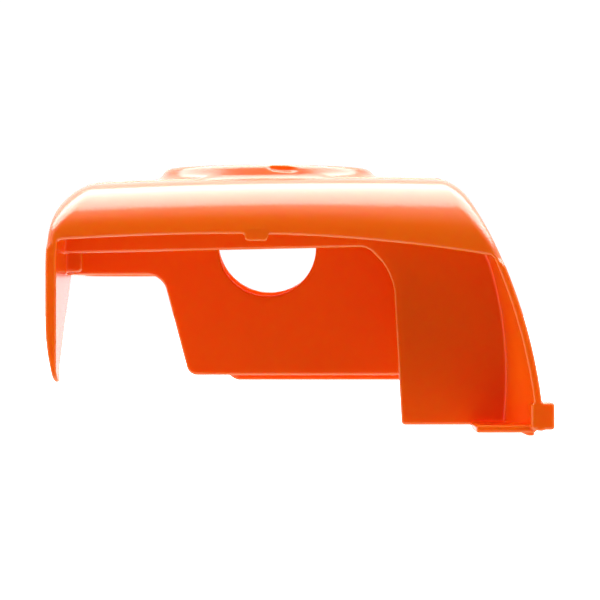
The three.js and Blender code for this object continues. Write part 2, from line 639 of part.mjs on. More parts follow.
// ---- The scene graph ----
function piece(name, body, material) {
  const mesh = new THREE.Mesh(geometryOf(body), material);
  mesh.name = name;
  return mesh;
}

const group = new THREE.Group();
const lock = new THREE.Group();
group.add(piece('cover_shell', coverShell(), ORANGE), piece('lock_bush', lockBush(), WHITE_ACETAL), lock);
lock.add(
  piece('lock_knob', lockKnob(), BLACK_NYLON),
  piece('knob_screw', knobScrew(), ZINC_STEEL),
  piece('lock_stem', lockStem(), ZINC_STEEL),
  piece('cross_pin', crossPin(), ZINC_STEEL),
  piece('sealing_ring', sealingRing(), RUBBER),
  piece('lock_spring', lockSpring(), SPRING_STEEL),
  piece('spring_washer', springWasher(), ZINC_STEEL),
  piece('retaining_clip', retainingClip(), SPRING_STEEL),
);

export default group;
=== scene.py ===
"""Looks of a moulded air filter cover with a captive quarter-turn lock in its boss."""
import logging
import math
from dataclasses import dataclass, field
from enum import Enum
from typing import Callable, Sequence

import bmesh
import bpy
import numpy as np
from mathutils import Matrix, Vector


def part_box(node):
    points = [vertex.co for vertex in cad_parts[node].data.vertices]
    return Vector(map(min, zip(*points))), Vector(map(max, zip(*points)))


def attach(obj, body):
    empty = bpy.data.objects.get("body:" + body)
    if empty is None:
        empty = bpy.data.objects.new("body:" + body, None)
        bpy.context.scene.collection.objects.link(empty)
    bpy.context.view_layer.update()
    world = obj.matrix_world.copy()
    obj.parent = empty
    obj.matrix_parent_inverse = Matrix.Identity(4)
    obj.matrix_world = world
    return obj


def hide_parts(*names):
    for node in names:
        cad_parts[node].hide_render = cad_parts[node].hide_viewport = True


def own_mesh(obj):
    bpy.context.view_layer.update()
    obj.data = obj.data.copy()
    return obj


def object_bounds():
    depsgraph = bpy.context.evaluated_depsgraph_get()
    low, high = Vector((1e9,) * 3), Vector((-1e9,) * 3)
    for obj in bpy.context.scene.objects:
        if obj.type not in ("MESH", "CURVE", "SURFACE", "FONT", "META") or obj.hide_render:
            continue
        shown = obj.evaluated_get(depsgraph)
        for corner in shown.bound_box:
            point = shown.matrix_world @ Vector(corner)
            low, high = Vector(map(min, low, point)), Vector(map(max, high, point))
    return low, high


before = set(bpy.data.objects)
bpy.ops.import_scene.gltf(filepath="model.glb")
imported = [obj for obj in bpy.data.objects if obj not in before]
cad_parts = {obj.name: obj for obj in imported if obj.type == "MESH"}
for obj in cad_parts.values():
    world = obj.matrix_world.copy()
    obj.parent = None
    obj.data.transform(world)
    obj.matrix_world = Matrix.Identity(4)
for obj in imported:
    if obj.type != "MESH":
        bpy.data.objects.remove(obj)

import openvdb
from mathutils import Matrix, Vector

CAD_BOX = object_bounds()
MM = 0.001
LOG = logging.getLogger("cover")
Points = np.ndarray
Values = np.ndarray


class Slot(Enum):
    """Material slots of the record."""

    ORANGE = "orange_plastic"
    NYLON = "black_nylon"
    ACETAL = "white_acetal"
    RUBBER = "rubber"
    ZINC = "zinc_steel"
    SPRING = "spring_steel"


class Body(Enum):
    """Moving bodies of the frame."""

    COVER = "cover"
    FLOAT = "lock_float"
    ROTOR = "lock_rotor"


# ---- Distance-field helpers, in millimetres -------------------------------------------------

def smooth(t: Values) -> Values:
    """Ease from 0 to 1 with flat ends."""
    u = np.clip(t, 0.0, 1.0)
    return u * u * (3.0 - 2.0 * u)


def meet(a: Values, b: Values, radius: Values | float) -> Values:
    """Intersection of two fields with its edge rounded.

    Args:
        a: First field, negative inside.
        b: Second field, negative inside.
        radius: Radius of the rounded edge.

    Returns:
        Field of what both shapes share.
    """
    edge = np.hypot(np.maximum(a + radius, 0.0), np.maximum(b + radius, 0.0))
    return np.minimum(np.maximum(a, b), -radius) + edge


def weld(a: Values, b: Values, radius: float) -> Values:
    """Union of two fields with a fillet of the given radius where they join."""
    return -meet(-a, -b, radius)


def slab(value: Values, low: float, high: float) -> Values:
    """Field of the space between two parallel planes."""
    return np.abs(value - (low + high) / 2.0) - (high - low) / 2.0


def edge_line(u: Values, v: Values, start: tuple[float, float], end: tuple[float, float]) -> Values:
    """Signed distance to a straight line, negative on the left of its direction."""
    du, dv = end[0] - start[0], end[1] - start[1]
    return ((u - start[0]) * dv - (v - start[1]) * du) / math.hypot(du, dv)


# ---- Meshing of a distance field ------------------------------------------------------------

@dataclass
class FieldMesher:
    """Turns a distance field in millimetres into a smooth mesh in metres."""

    at: Callable[[Points], Values]
    low: tuple[float, float, float]
    high: tuple[float, float, float]
    voxel: float
    faces: int
    block: int = 8
    band: float = 3.0
    step: float = 0.04

    def gradient(self, points: Points) -> Points:
        """Slope of the field at points, by differences.

        Args:
            points: Points in millimetres, one per row.

        Returns:
            One slope vector per point.
        """
        slopes = []
        for axis in range(3):
            shift = np.zeros(3)
            shift[axis] = self.step
            slopes.append((self.at(points + shift) - self.at(points - shift)) / (2.0 * self.step))
        return np.stack(slopes, axis=1)

    @staticmethod
    def indices(counts: Sequence[int]) -> np.ndarray:
        """Every whole-number place of a box with the given counts along its sides."""
        axes = np.meshgrid(*[np.arange(count) for count in counts], indexing="ij")
        return np.stack(axes, axis=-1).reshape(-1, 3)

    def sample(self) -> np.ndarray:
        """Fill a regular grid, computing only the blocks that the surface may pass.

        Returns:
            Field values on the grid, indexed by x, y and z.
        """
        low, n = np.array(self.low), self.block
        span = self.voxel * n
        far = self.band * self.voxel
        blocks = np.ceil((np.array(self.high) - low) / span).astype(int)
        grid = np.full(blocks * n, far, dtype=np.float32)
        ijk = self.indices(blocks)
        centres = self.at(low + (ijk + 0.5) * span)
        near = np.abs(centres) < span * 1.6
        inner = self.indices([n] * 3)
        for part in np.array_split(ijk[near], max(1, int(near.sum()) // 600)):
            index = (part[:, None, :] * n + inner[None, :, :]).reshape(-1, 3)
            values = self.at(low + index * self.voxel)
            grid[index[:, 0], index[:, 1], index[:, 2]] = np.clip(values, -far, far)
        for i, j, k in ijk[~near & (centres < 0.0)]:
            grid[i * n:(i + 1) * n, j * n:(j + 1) * n, k * n:(k + 1) * n] = -far
        return grid

    def settle(self, points: Points, passes: int) -> Points:
        """Move points onto the exact surface, by no more than most of a voxel.

        Args:
            points: Points in millimetres, one per row.
            passes: Number of times to move them.

        Returns:
            The moved points.
        """
        reach = 0.75 * self.voxel
        for _ in range(passes):
            slope = self.gradient(points)
            size = np.maximum((slope ** 2).sum(axis=1), 0.05)
            move = -(self.at(points) / size)[:, None] * slope
            length = np.linalg.norm(move, axis=1, keepdims=True)
            points = points + move * np.minimum(1.0, reach / np.maximum(length, 1e-9))
        return points

    def mesh(self, name: str) -> bpy.types.Object:
        """Closed triangle mesh with normals from the field itself.

        Args:
            name: Name of the new object.

        Returns:
            The new object.
        """
        volume = openvdb.FloatGrid(self.band * self.voxel)
        volume.copyFromArray(self.sample())
        points, triangles, quads = volume.convertToPolygons(isovalue=0.0, adaptivity=0.0)
        points = self.settle(np.array(self.low) + points.astype(float) * self.voxel, 2)
        piece = mesh_object(name, points * MM, triangles.tolist() + quads.tolist())
        thin(piece, self.faces)
        self.dress_normals(piece)
        return piece

    def dress_normals(self, piece: bpy.types.Object) -> None:
        """Put the thinned mesh back on the surface and give it the field's normals.

        Args:
            piece: Object to change.
        """
        mesh = piece.data
        flat = np.empty(len(mesh.vertices) * 3)
        mesh.vertices.foreach_get("co", flat)
        points = self.settle(flat.reshape(-1, 3) / MM, 1)
        mesh.vertices.foreach_set("co", (points * MM).ravel())
        slope = self.gradient(points)
        normals = slope / np.maximum(np.linalg.norm(slope, axis=1, keepdims=True), 1e-9)
        mesh.update()
        mesh.shade_smooth()
        mesh.normals_split_custom_set_from_vertices(normals.tolist())


# ---- The moulded cover ----------------------------------------------------------------------

@dataclass
class OuterForm:
    """Roof, brow, sides and back of the cover, in millimetres from its own frame."""

    length: float = 124.0
    left: float = -75.5
    right: float = 72.6
    roof: float = 77.3
    wall: float = 2.4
    left_wall: float = 3.2
    crown: float = 0.00035
    crown_x: float = 8.0
    rise: float = 1.3
    lock_at: float = 62.0
    deck_step: float = 0.8
    deck_start: float = 31.0
    deck_left: float = 8.5
    step_run: float = 1.6
    brow_run: float = 24.0
    rim_z: float = 59.9
    rim_x: float = -20.0
    rim_fall_left: float = 0.00066
    rim_fall_right: float = 0.00109
    lean_z: float = 50.0
    lean: float = 0.007
    curl_z: float = 34.0
    curl: float = 0.0075
    tongue_edge: float = 1.5
    slope: float = 0.05
    bulge: float = 0.0036
    flare: float = 8.3
    flare_top: float = 52.0
    flare_power: float = 1.2
    flare_run: float = 25.0
    left_corner: float = 9.0
    right_corner: float = 4.5
    brow_corner: float = 3.0
    mouth_corner: float = 0.9
    rear_corner: float = 13.0

    def roof_z(self, x: Values, run: Values) -> Values:
        """Height of the roof over a place, with its crown and raised deck.

        Args:
            x: Places across, in millimetres, positive to the right.
            run: Distances behind the mouth, in millimetres.

        Returns:
            Heights of the roof.
        """
        crown = self.crown * (x - self.crown_x) ** 2
        climb = self.rise * smooth((run - self.brow_run) / (self.lock_at - self.brow_run))
        front = smooth((run - self.deck_start) / self.step_run)
        side = smooth((x - self.left - self.deck_left) / self.step_run)
        return self.roof - crown + climb + self.deck_step * front * side

    def rim(self, x: Values) -> Values:
        """Height of the brow's lower rim."""
        fall = np.where(x < self.rim_x, self.rim_fall_left, self.rim_fall_right)
        return self.rim_z - fall * (x - self.rim_x) ** 2

    def top(self, x: Values, run: Values, z: Values, inset: float) -> Values:
        """Distance above the roof and in front of the rolled brow.

        Args:
            x: Places across, in millimetres, positive to the right.
            run: Distances behind the mouth, in millimetres.
            z: Heights above the lowest edge, in millimetres.
            inset: Distance to set the form in by.

        Returns:
            Field values, negative inside.
        """
        rim = self.rim(x)
        tall = self.roof_z(x, run) - inset - rim
        deep = self.brow_run - inset
        u = np.maximum((self.brow_run - run) / deep, 0.0)
        v = np.maximum((z - rim) / tall, 0.0)
        reach = np.maximum(np.hypot(u, v), 1e-6)
        slope = np.maximum(np.hypot(u / deep, v / tall), 1e-9)
        return np.where(u > 0.0, (reach - 1.0) * reach / slope, z - rim - tall)

    def left_side(self, x: Values, z: Values, inset: float) -> Values:
        """Distance outside the left side.

        Args:
            x: Places across, in millimetres, positive to the right.
            z: Heights above the lowest edge, in millimetres.
            inset: Distance to set the form in by.

        Returns:
            Field values, negative inside.
        """
        lean = self.lean * np.maximum(z - self.lean_z, 0.0) ** 2
        curl = self.curl * np.maximum(self.curl_z - z, 0.0) ** 2
        if inset:
            inner = np.maximum(self.left_wall, curl + self.tongue_edge)
            return self.left + inner + lean - x
        return self.left + lean + curl - x

    def right_side(self, x: Values, run: Values, z: Values, inset: float) -> Values:
        """Distance outside the right side, with the skirt's flare at the mouth.

        Args:
            x: Places across, in millimetres, positive to the right.
            run: Distances behind the mouth, in millimetres.
            z: Heights above the lowest edge, in millimetres.
            inset: Distance to set the form in by.

        Returns:
            Field values, negative inside.
        """
        low = np.maximum(z, 0.0)
        near = self.right - self.slope * low - self.bulge * low * low
        flare = self.flare * np.maximum(1.0 - low / self.flare_top, 0.0) ** self.flare_power
        lean = self.slope + 2.0 * self.bulge * low
        return (x - near + flare * smooth(run / self.flare_run) + inset) / np.sqrt(1.0 + lean * lean)

    def corner(self, x: Values, z: Values, inset: float) -> Values:
        """Radius between roof and side, which narrows down the brow to the mouth's edge.

        Args:
            x: Places across, in millimetres, positive to the right.
            z: Heights above the lowest edge, in millimetres.
            inset: Distance to set the form in by.

        Returns:
            Radii in millimetres.
        """
        full = np.where(x < 0.0, self.left_corner, self.right_corner)
        above = z - self.rim(x)
        brow = self.brow_corner + (full - self.brow_corner) * smooth((above - 1.0) / 13.0)
        brow = np.minimum(brow, full)
        extra = np.maximum(brow - self.mouth_corner - inset, 0.0)
        return self.mouth_corner + extra * smooth(above / 3.0 + 1.0)

    def field(self, x: Values, run: Values, z: Values, inset: float) -> Values:
        """Field of the closed outer form, set in by a wall or not.

        Args:
            x: Places across, in millimetres, positive to the right.
            run: Distances behind the mouth, in millimetres.
            z: Heights above the lowest edge, in millimetres.
            inset: Distance to set the form in by.

        Returns:
            Field values, negative inside.
        """
        top = self.top(x, run, z, inset)
        if inset:
            rim = self.rim(x)
            below = -np.hypot(np.maximum(rim - z, 0.0), np.maximum(run - inset, 0.0))
            lip = np.where(z > rim, np.minimum(top, z - rim), z - rim)
            top = np.where(run < inset, lip, np.where(z < rim, below, top))
        side = np.maximum(self.left_side(x, z, inset), self.right_side(x, run, z, inset))
        section = meet(top, side, self.corner(x, z, inset))
        return meet(section, run - (self.length - inset), self.rear_corner - inset)


@dataclass
class LowerEdges:
    """Lower edges of the tongue, the skirt and the back."""

    tip_z: float = 15.8
    tip_run: float = 9.0
    tongue_run: float = 53.0
    left_z: float = 48.3
    right_z: float = 1.5
    right_run: float = 34.0
    rear_z: float = 13.0
    rear_slope: tuple[float, float] = (-44.0, -24.0)
    rear_from: float = 100.0

    def soft_ramp(self, t: Values, places: list[float], heights: list[float], blur: float) -> Values:
        """Piecewise line through given heights with its corners blurred."""
        steps = np.linspace(-blur, blur, 5)
        return sum(np.interp(t + step, places, heights) for step in steps) / len(steps)

    def field(self, x: Values, run: Values, z: Values) -> Values:
        """Distance below the lower edge that applies at a place.

        Args:
            x: Places across, in millimetres, positive to the right.
            run: Distances behind the mouth, in millimetres.
            z: Heights above the lowest edge, in millimetres.

        Returns:
            Field values, negative above the edge.
        """
        knee = self.tongue_run
        left = self.soft_ramp(
            run, [0.0, self.tip_run, self.tip_run + 22.0, knee, knee + 3.0],
            [self.tip_z, self.tip_z, self.tip_z + 16.0, self.left_z - 2.3, self.left_z], 2.5)
        tip = np.maximum(4.0 - run, 0.0)
        left = left + 0.12 * tip * tip
        right = self.soft_ramp(
            run, [0.0, self.right_run, self.right_run + 18.0], [self.right_z, self.right_z, self.rear_z], 4.0)
        rear = self.soft_ramp(x, list(self.rear_slope), [self.left_z, self.rear_z], 3.0)
        back = run > self.rear_from
        edge = np.where(back, rear, np.where(x < 0.0, left, right))
        on_slope = back & (x > self.rear_slope[0] - 3.0) & (x < self.rear_slope[1] + 3.0)
        steep = np.where(on_slope, 1.98, np.where(back, 1.0, 1.2))
        return (edge - z) / steep


@dataclass
class Partitions:
    """Front frame, side stub, main partition and roof ribs inside the cover."""

    edge_radius: float = 0.85
    frame_at: tuple[float, float] = (25.0, 27.2)
    frame_left: tuple[float, float] = (-69.6, 54.6)
    frame_right: tuple[float, float] = (20.5, 56.5)
    frame_knee: tuple[float, float] = (28.4, 48.6)
    frame_foot: tuple[float, float] = (31.1, 2.2)
    stub_at: tuple[float, float] = (34.0, 36.2)
    stub_x: float = -67.2
    stub_z: float = 48.9
    main_at: tuple[float, float] = (49.0, 51.2)
    main_z: float = 16.7
    shoulder: tuple[float, float] = (-43.2, 48.2)
    heel_x: float = -34.9
    port: tuple[float, float] = (-10.2, 56.8)
    port_radius: float = 15.2
    ribs_x: tuple[float, float] = (-52.0, 38.0)
    rib_height: float = 3.2
    rib_thick: float = 1.6

    def front_frame(self, x: Values, run: Values, z: Values) -> Values:
        """Inverted-L frame near the mouth.

        Args:
            x: Places across, in millimetres, positive to the right.
            run: Distances behind the mouth, in millimetres.
            z: Heights above the lowest edge, in millimetres.

        Returns:
            Field values, negative inside.
        """
        over = edge_line(x, z, self.frame_right, self.frame_left)
        slant = edge_line(x, z, self.frame_knee, self.frame_right)
        upright = edge_line(x, z, self.frame_foot, self.frame_knee)
        window = meet(meet(over, slant, 1.5), upright, 4.0)
        outline = meet(-window, self.frame_foot[1] - z, 1.0)
        return meet(slab(run, *self.frame_at), outline, self.edge_radius)

    def stub(self, x: Values, run: Values, z: Values) -> Values:
        """Short rib standing off the left side."""
        outline = meet(x - self.stub_x, self.stub_z - z, 1.5)
        return meet(slab(run, *self.stub_at), outline, self.edge_radius)

    def main(self, x: Values, run: Values, z: Values) -> Values:
        """Main partition with its stepped lower edge and round port.

        Args:
            x: Places across, in millimetres, positive to the right.
            run: Distances behind the mouth, in millimetres.
            z: Heights above the lowest edge, in millimetres.

        Returns:
            Field values, negative inside.
        """
        slope = edge_line(x, z, (self.heel_x, self.main_z), self.shoulder)
        outline = weld(self.shoulder[1] - z, meet(-slope, self.main_z - z, 2.5), 4.5)
        plate = meet(slab(run, *self.main_at), outline, self.edge_radius)
        port = self.port_radius - np.hypot(x - self.port[0], z - self.port[1])
        return meet(plate, port, 0.7)

    def ribs(self, x: Values, run: Values, z: Values, form: OuterForm) -> Values:
        """Stiffening ribs along the underside of the roof.

        Args:
            x: Places across, in millimetres, positive to the right.
            run: Distances behind the mouth, in millimetres.
            z: Heights above the lowest edge, in millimetres.
            form: Outer form that the piece follows.

        Returns:
            Field values, negative inside.
        """
        under = form.roof - form.wall - self.rib_height
        found = np.full_like(x, 1e3)
        for rib_x in self.ribs_x:
            drop = form.crown * (rib_x - form.crown_x) ** 2
            plate = slab(x, rib_x - self.rib_thick / 2.0, rib_x + self.rib_thick / 2.0)
            rib = meet(plate, under - drop - z, 0.5)
            length = slab(run, self.frame_at[0] + 1.0, form.length - form.wall)
            found = np.minimum(found, np.maximum(rib, length))
        return found

    def field(self, x: Values, run: Values, z: Values, form: OuterForm, inside: Values) -> Values:
        """All inner walls together, kept inside the outer form.

        Args:
            x: Places across, in millimetres, positive to the right.
            run: Distances behind the mouth, in millimetres.
            z: Heights above the lowest edge, in millimetres.
            form: Outer form that the piece follows.
            inside: Field of the space inside the outer form.

        Returns:
            Field values, negative inside.
        """
        plates = np.minimum(self.front_frame(x, run, z), self.stub(x, run, z))
        plates = weld(np.minimum(plates, self.main(x, run, z)), self.ribs(x, run, z, form), 0.8)
        return np.maximum(plates, np.maximum(inside + 0.9, z - form.roof))


@dataclass
class SmallFeatures:
    """Tab, foot, ledge and lug at the mouth."""

    tab_x: tuple[float, float] = (-16.55, -9.25)
    tab_drop: float = 1.9
    tab_run: float = 2.2
    ledge_x: tuple[float, float] = (52.4, 70.0)
    ledge_z: tuple[float, float] = (0.9, 3.1)
    ledge_run: tuple[float, float] = (2.0, 26.0)
    lug_x: tuple[float, float] = (65.4, 69.6)
    lug_run: tuple[float, float] = (3.0, 11.0)
    foot_x: tuple[float, float] = (68.5, 75.5)
    foot_z: tuple[float, float] = (1.8, 9.9)
    foot_run: tuple[float, float] = (0.0, 9.0)

    def block(self, x: Values, run: Values, z: Values, sizes: tuple, radius: float) -> Values:
        """Box with rounded edges, from its limits in x, run and z."""
        spans = [slab(value, *limits) for value, limits in zip((x, run, z), sizes)]
        return meet(meet(spans[0], spans[2], radius), spans[1], radius)

    def field(self, x: Values, run: Values, z: Values, form: OuterForm) -> Values:
        """All the small features together.

        Args:
            x: Places across, in millimetres, positive to the right.
            run: Distances behind the mouth, in millimetres.
            z: Heights above the lowest edge, in millimetres.
            form: Outer form that the piece follows.

        Returns:
            Field values, negative inside.
        """
        rim = form.rim_z - form.rim_fall_right * (self.tab_x[1] - form.rim_x) ** 2
        taper = 0.18 * (rim - z)
        middle = sum(self.tab_x) / 2.0
        tab_side = np.abs(x - middle) - (self.tab_x[1] - self.tab_x[0]) / 2.0 + taper
        tab = meet(tab_side, slab(z, rim - self.tab_drop, rim + 1.5), 0.8)
        tab = meet(tab, slab(run, 0.05, self.tab_run), 0.5)
        ledge = self.block(x, run, z, (self.ledge_x, self.ledge_run, self.ledge_z), 0.5)
        foot = self.block(x, run, z, (self.foot_x, self.foot_run, self.foot_z), 1.0)
        lug_low = np.maximum(self.lug_x[0] + 2.4 - x, 0.0) * 0.42
        lug = meet(slab(x, *self.lug_x), slab(z, 0.0, self.ledge_z[0] + 0.6) + lug_low, 0.35)
        lug = meet(lug, slab(run, *self.lug_run), 0.35)
        return weld(weld(ledge, lug, 0.3), np.minimum(tab, foot), 0.3)


@dataclass
class LockBoss:
    """Raised boss with its dish, well, bore and finger mark."""

    x: float = -10.2
    run: float = 62.0
    radius: float = 32.4
    lean: float = 0.6
    rise: float = 4.6
    dish: float = 1.4
    dish_radius: float = 30.4
    well_radius: float = 18.6
    well_depth: float = 7.3
    floor: float = 2.3
    bore: float = 6.5
    wall: float = 2.4
    base_fillet: float = 1.7
    top_edge: float = 1.3
    notch_x: float = -4.6
    notch_down: float = 0.9
    notch_out: float = 0.35
    notch: tuple[float, float, float] = (5.0, 1.3, 1.45)

    def top_z(self, form: OuterForm) -> float:
        """Height of the boss's flat ring."""
        return form.roof + self.rise

    def distance(self, x: Values, run: Values) -> Values:
        """Distance from the lock's axis."""
        return np.hypot(x - self.x, run - self.run)

    def outer(self, x: Values, run: Values, z: Values, form: OuterForm) -> Values:
        """Solid boss before its well is cut.

        Args:
            x: Places across, in millimetres, positive to the right.
            run: Distances behind the mouth, in millimetres.
            z: Heights above the lowest edge, in millimetres.
            form: Outer form that the piece follows.

        Returns:
            Field values, negative inside.
        """
        away = self.distance(x, run)
        top = self.top_z(form)
        dish = smooth((self.dish_radius - away) / (self.dish_radius - self.well_radius - 2.0))
        wall = (away - self.radius - self.lean * (top - z)) / math.hypot(1.0, self.lean)
        return meet(meet(wall, z - top + self.dish * dish, self.top_edge), form.roof - 6.0 - z, 0.1)

    def cuts(self, x: Values, run: Values, z: Values, form: OuterForm) -> Values:
        """Well, bore and finger mark, as one field to take away.

        Args:
            x: Places across, in millimetres, positive to the right.
            run: Distances behind the mouth, in millimetres.
            z: Heights above the lowest edge, in millimetres.
            form: Outer form that the piece follows.

        Returns:
            Field values, negative inside.
        """
        away = self.distance(x, run)
        floor = self.top_z(form) - self.well_depth
        well = meet(away - self.well_radius, floor - z, 0.6)
        bore = away - self.bore
        reach = self.radius + self.lean * self.notch_down
        wall_run = self.run - math.sqrt(reach ** 2 - (self.notch_x - self.x) ** 2) - self.notch_out
        wide, deep, tall = self.notch
        mark = np.sqrt(((x - self.notch_x) / wide) ** 2 + ((run - wall_run) / deep) ** 2
                       + ((z - self.top_z(form) + self.notch_down) / tall) ** 2) - 1.0
        return np.minimum(np.minimum(well, bore), mark * deep)

    def hollow(self, x: Values, run: Values, z: Values, form: OuterForm) -> Values:
        """Ring-shaped pocket under the boss, round the well's cup.

        Args:
            x: Places across, in millimetres, positive to the right.
            run: Distances behind the mouth, in millimetres.
            z: Heights above the lowest edge, in millimetres.
            form: Outer form that the piece follows.

        Returns:
            Field values, negative inside.
        """
        away = self.distance(x, run)
        ring = np.maximum(away - (self.radius - self.wall), self.well_radius + self.wall - away)
        tall = slab(z, form.roof - form.wall - 3.0, self.top_z(form) - self.dish - self.wall)
        return meet(ring, tall, 0.8)

    def cup(self, x: Values, run: Values, z: Values, form: OuterForm) -> Values:
        """Wall and floor of the well under the roof.

        Args:
            x: Places across, in millimetres, positive to the right.
            run: Distances behind the mouth, in millimetres.
            z: Heights above the lowest edge, in millimetres.
            form: Outer form that the piece follows.

        Returns:
            Field values, negative inside.
        """
        away = self.distance(x, run)
        under = self.top_z(form) - self.well_depth - self.floor
        low = meet(away - (self.well_radius + self.wall), under - z, 0.8)
        return np.maximum(low, z - (self.top_z(form) - self.dish - 0.5))


@dataclass
class CoverMoulding:
    """The whole moulding as one distance field, and its mesh."""

    form: OuterForm = field(default_factory=OuterForm)
    edges: LowerEdges = field(default_factory=LowerEdges)
    partitions: Partitions = field(default_factory=Partitions)
    features: SmallFeatures = field(default_factory=SmallFeatures)
    boss: LockBoss = field(default_factory=LockBoss)
    low: tuple[float, float, float] = (-78.0, -65.0, -3.0)
    high: tuple[float, float, float] = (78.0, 65.0, 85.0)
    voxel: float = 0.55
    quick_voxel: float = 0.9
    edge_radius: float = 0.8
    port_z: float = 60.6
    port_radius: float = 17.6
    port_top: float = 67.0
    port_from: float = 105.0
    faces: int = 190_000

    def field(self, x: Values, run: Values, z: Values) -> Values:
        """Negative inside the plastic, about in millimetres.

        Args:
            x: Places across, in millimetres, positive to the right.
            run: Distances behind the mouth, in millimetres.
            z: Heights above the lowest edge, in millimetres.

        Returns:
            Field values, negative inside.
        """
        outer = self.form.field(x, run, z, 0.0)
        inner = self.form.field(x, run, z, self.form.wall)
        skin = meet(outer, -inner, self.edge_radius)
        hollow = self.boss.hollow(x, run, z, self.form)
        skin = weld(skin, np.maximum(self.boss.outer(x, run, z, self.form), -inner), self.boss.base_fillet)
        skin = np.maximum(skin, -hollow)
        skin = meet(skin, self.edges.field(x, run, z), self.edge_radius)
        body = weld(skin, self.partitions.field(x, run, z, self.form, outer), 0.9)
        body = weld(body, self.boss.cup(x, run, z, self.form), 0.7)
        body = weld(body, self.features.field(x, run, z, self.form), 0.5)
        port = self.rear_port(x, run, z)
        body = meet(meet(body, -port, 0.7), -self.boss.cuts(x, run, z, self.form), 0.4)
        return np.maximum(body, -run)

    def rear_port(self, x: Values, run: Values, z: Values) -> Values:
        """Flat-topped round mouth of the duct through the back."""
        away = np.hypot(x - self.boss.x, z - self.port_z) - self.port_radius
        return np.maximum(meet(away, z - self.port_top, 3.0), self.port_from - run)

    def at(self, points: Points) -> Values:
        """Field at points given in the cover's own frame."""
        return self.field(points[:, 0], points[:, 1] + self.form.length / 2.0, points[:, 2])

    def mesh(self, name: str) -> bpy.types.Object:
        """Mesh of the whole moulding."""
        voxel = self.voxel
        return FieldMesher(self.at, self.low, self.high, voxel, self.faces).mesh(name)


# ---- Mesh helpers ---------------------------------------------------------------------------

def mesh_object(name: str, points: Points, faces: list[tuple[int, ...]]) -> bpy.types.Object:
    """New object in the scene from points in metres and faces.

    Args:
        name: Name of the new object.
        points: Points in metres, one per row.
        faces: Point numbers of each face.

    Returns:
        The new object.
    """
    mesh = bpy.data.meshes.new(name)
    mesh.from_pydata(points.tolist(), [], faces)
    mesh.update()
    piece = bpy.data.objects.new(name, mesh)
    bpy.context.scene.collection.objects.link(piece)
    return piece


def apply_modifiers(piece: bpy.types.Object) -> None:
    """Turn the evaluated object into its plain mesh.

    Args:
        piece: Object to change.
    """
    graph = bpy.context.evaluated_depsgraph_get()
    result = bpy.data.meshes.new_from_object(piece.evaluated_get(graph), depsgraph=graph)
    piece.modifiers.clear()
    piece.data = result


def thin(piece: bpy.types.Object, faces: int) -> None:
    """Collapse a dense mesh to about the given number of triangles.

    Args:
        piece: Object to change.
        faces: Number of triangles to come down to.
    """
    count = sum(len(polygon.vertices) - 2 for polygon in piece.data.polygons)
    if count <= faces:
        return
    decimate = piece.modifiers.new("thin", "DECIMATE")
    decimate.ratio = faces / count
    decimate.use_collapse_triangulate = True
    apply_modifiers(piece)


# ---- Finishes -------------------------------------------------------------------------------

@dataclass(frozen=True)
class MouldedPlastic:
    """Moulded plastic whose thin walls let light through."""

    name: str
    color: tuple[float, float, float]
    deep_color: tuple[float, float, float]
    roughness: float
    rough_spread: float
    subsurface: float
    scatter: tuple[float, float, float]
    grain: float
    grain_scale: float
    coat: float = 0.0

    def material(self) -> bpy.types.Material:
        """Node material with flow marks, fine scuffs and a soft skin texture.

        Returns:
            The new material.
        """
        tree = NodeTree(self.name)
        place = tree.add("ShaderNodeTexCoord").outputs["Object"]
        flow = tree.noise(place, 14.0, 3.0, 0.55)
        fine = tree.noise(place, 900.0, 2.0, 0.5)
        scuff = tree.noise(tree.stretched(place, (30.0, 220.0, 120.0)), 5.0, 4.0, 0.65)
        tint = tree.mix_color(tree.ramp(flow, 0.35, 0.7), self.color, self.deep_color)
        rough = tree.span(scuff, 0.35, 0.75, self.roughness, self.roughness + self.rough_spread)
        bump = tree.bump(fine, self.grain, self.grain_scale)
        shader = tree.shader
        tree.link(tint, shader.inputs["Base Color"])
        tree.link(rough, shader.inputs["Roughness"])
        tree.link(bump, shader.inputs["Normal"])
        shader.inputs["Subsurface Weight"].default_value = self.subsurface
        shader.inputs["Subsurface Radius"].default_value = self.scatter
        shader.inputs["Subsurface Scale"].default_value = MM
        shader.inputs["IOR"].default_value = 1.5
        shader.inputs["Coat Weight"].default_value = self.coat
        return tree.material


@dataclass(frozen=True)
class PlainMetal:
    """Plated or drawn steel with fine turning lines."""

    name: str
    color: tuple[float, float, float]
    roughness: float
    lines: float

    def material(self) -> bpy.types.Material:
        """Node material with turning marks round the lock's axis.

        Returns:
            The new material.
        """
        tree = NodeTree(self.name)
        place = tree.add("ShaderNodeTexCoord").outputs["Object"]
        lines = tree.noise(tree.stretched(place, (40.0, 40.0, 3000.0)), 2.0, 3.0, 0.6)
        patch = tree.noise(place, 160.0, 3.0, 0.6)
        darker = tuple(channel * 0.78 for channel in self.color)
        tint = tree.mix_color(tree.ramp(patch, 0.35, 0.7), self.color, darker)
        tree.link(tint, tree.shader.inputs["Base Color"])
        rough = tree.span(patch, 0.3, 0.75, self.roughness, self.roughness + 0.18)
        tree.link(rough, tree.shader.inputs["Roughness"])
        tree.link(tree.bump(lines, self.lines, 0.00004), tree.shader.inputs["Normal"])
        tree.shader.inputs["Metallic"].default_value = 1.0
        return tree.material


class NodeBench:
    """Short calls shared by the material and geometry trees."""

    tree: bpy.types.NodeTree

    def add(self, kind: str) -> bpy.types.Node:
        """Add one node."""
        return self.tree.nodes.new(kind)

    def link(self, source: bpy.types.NodeSocket, target: bpy.types.NodeSocket) -> None:
        """Join two sockets."""
        self.tree.links.new(source, target)


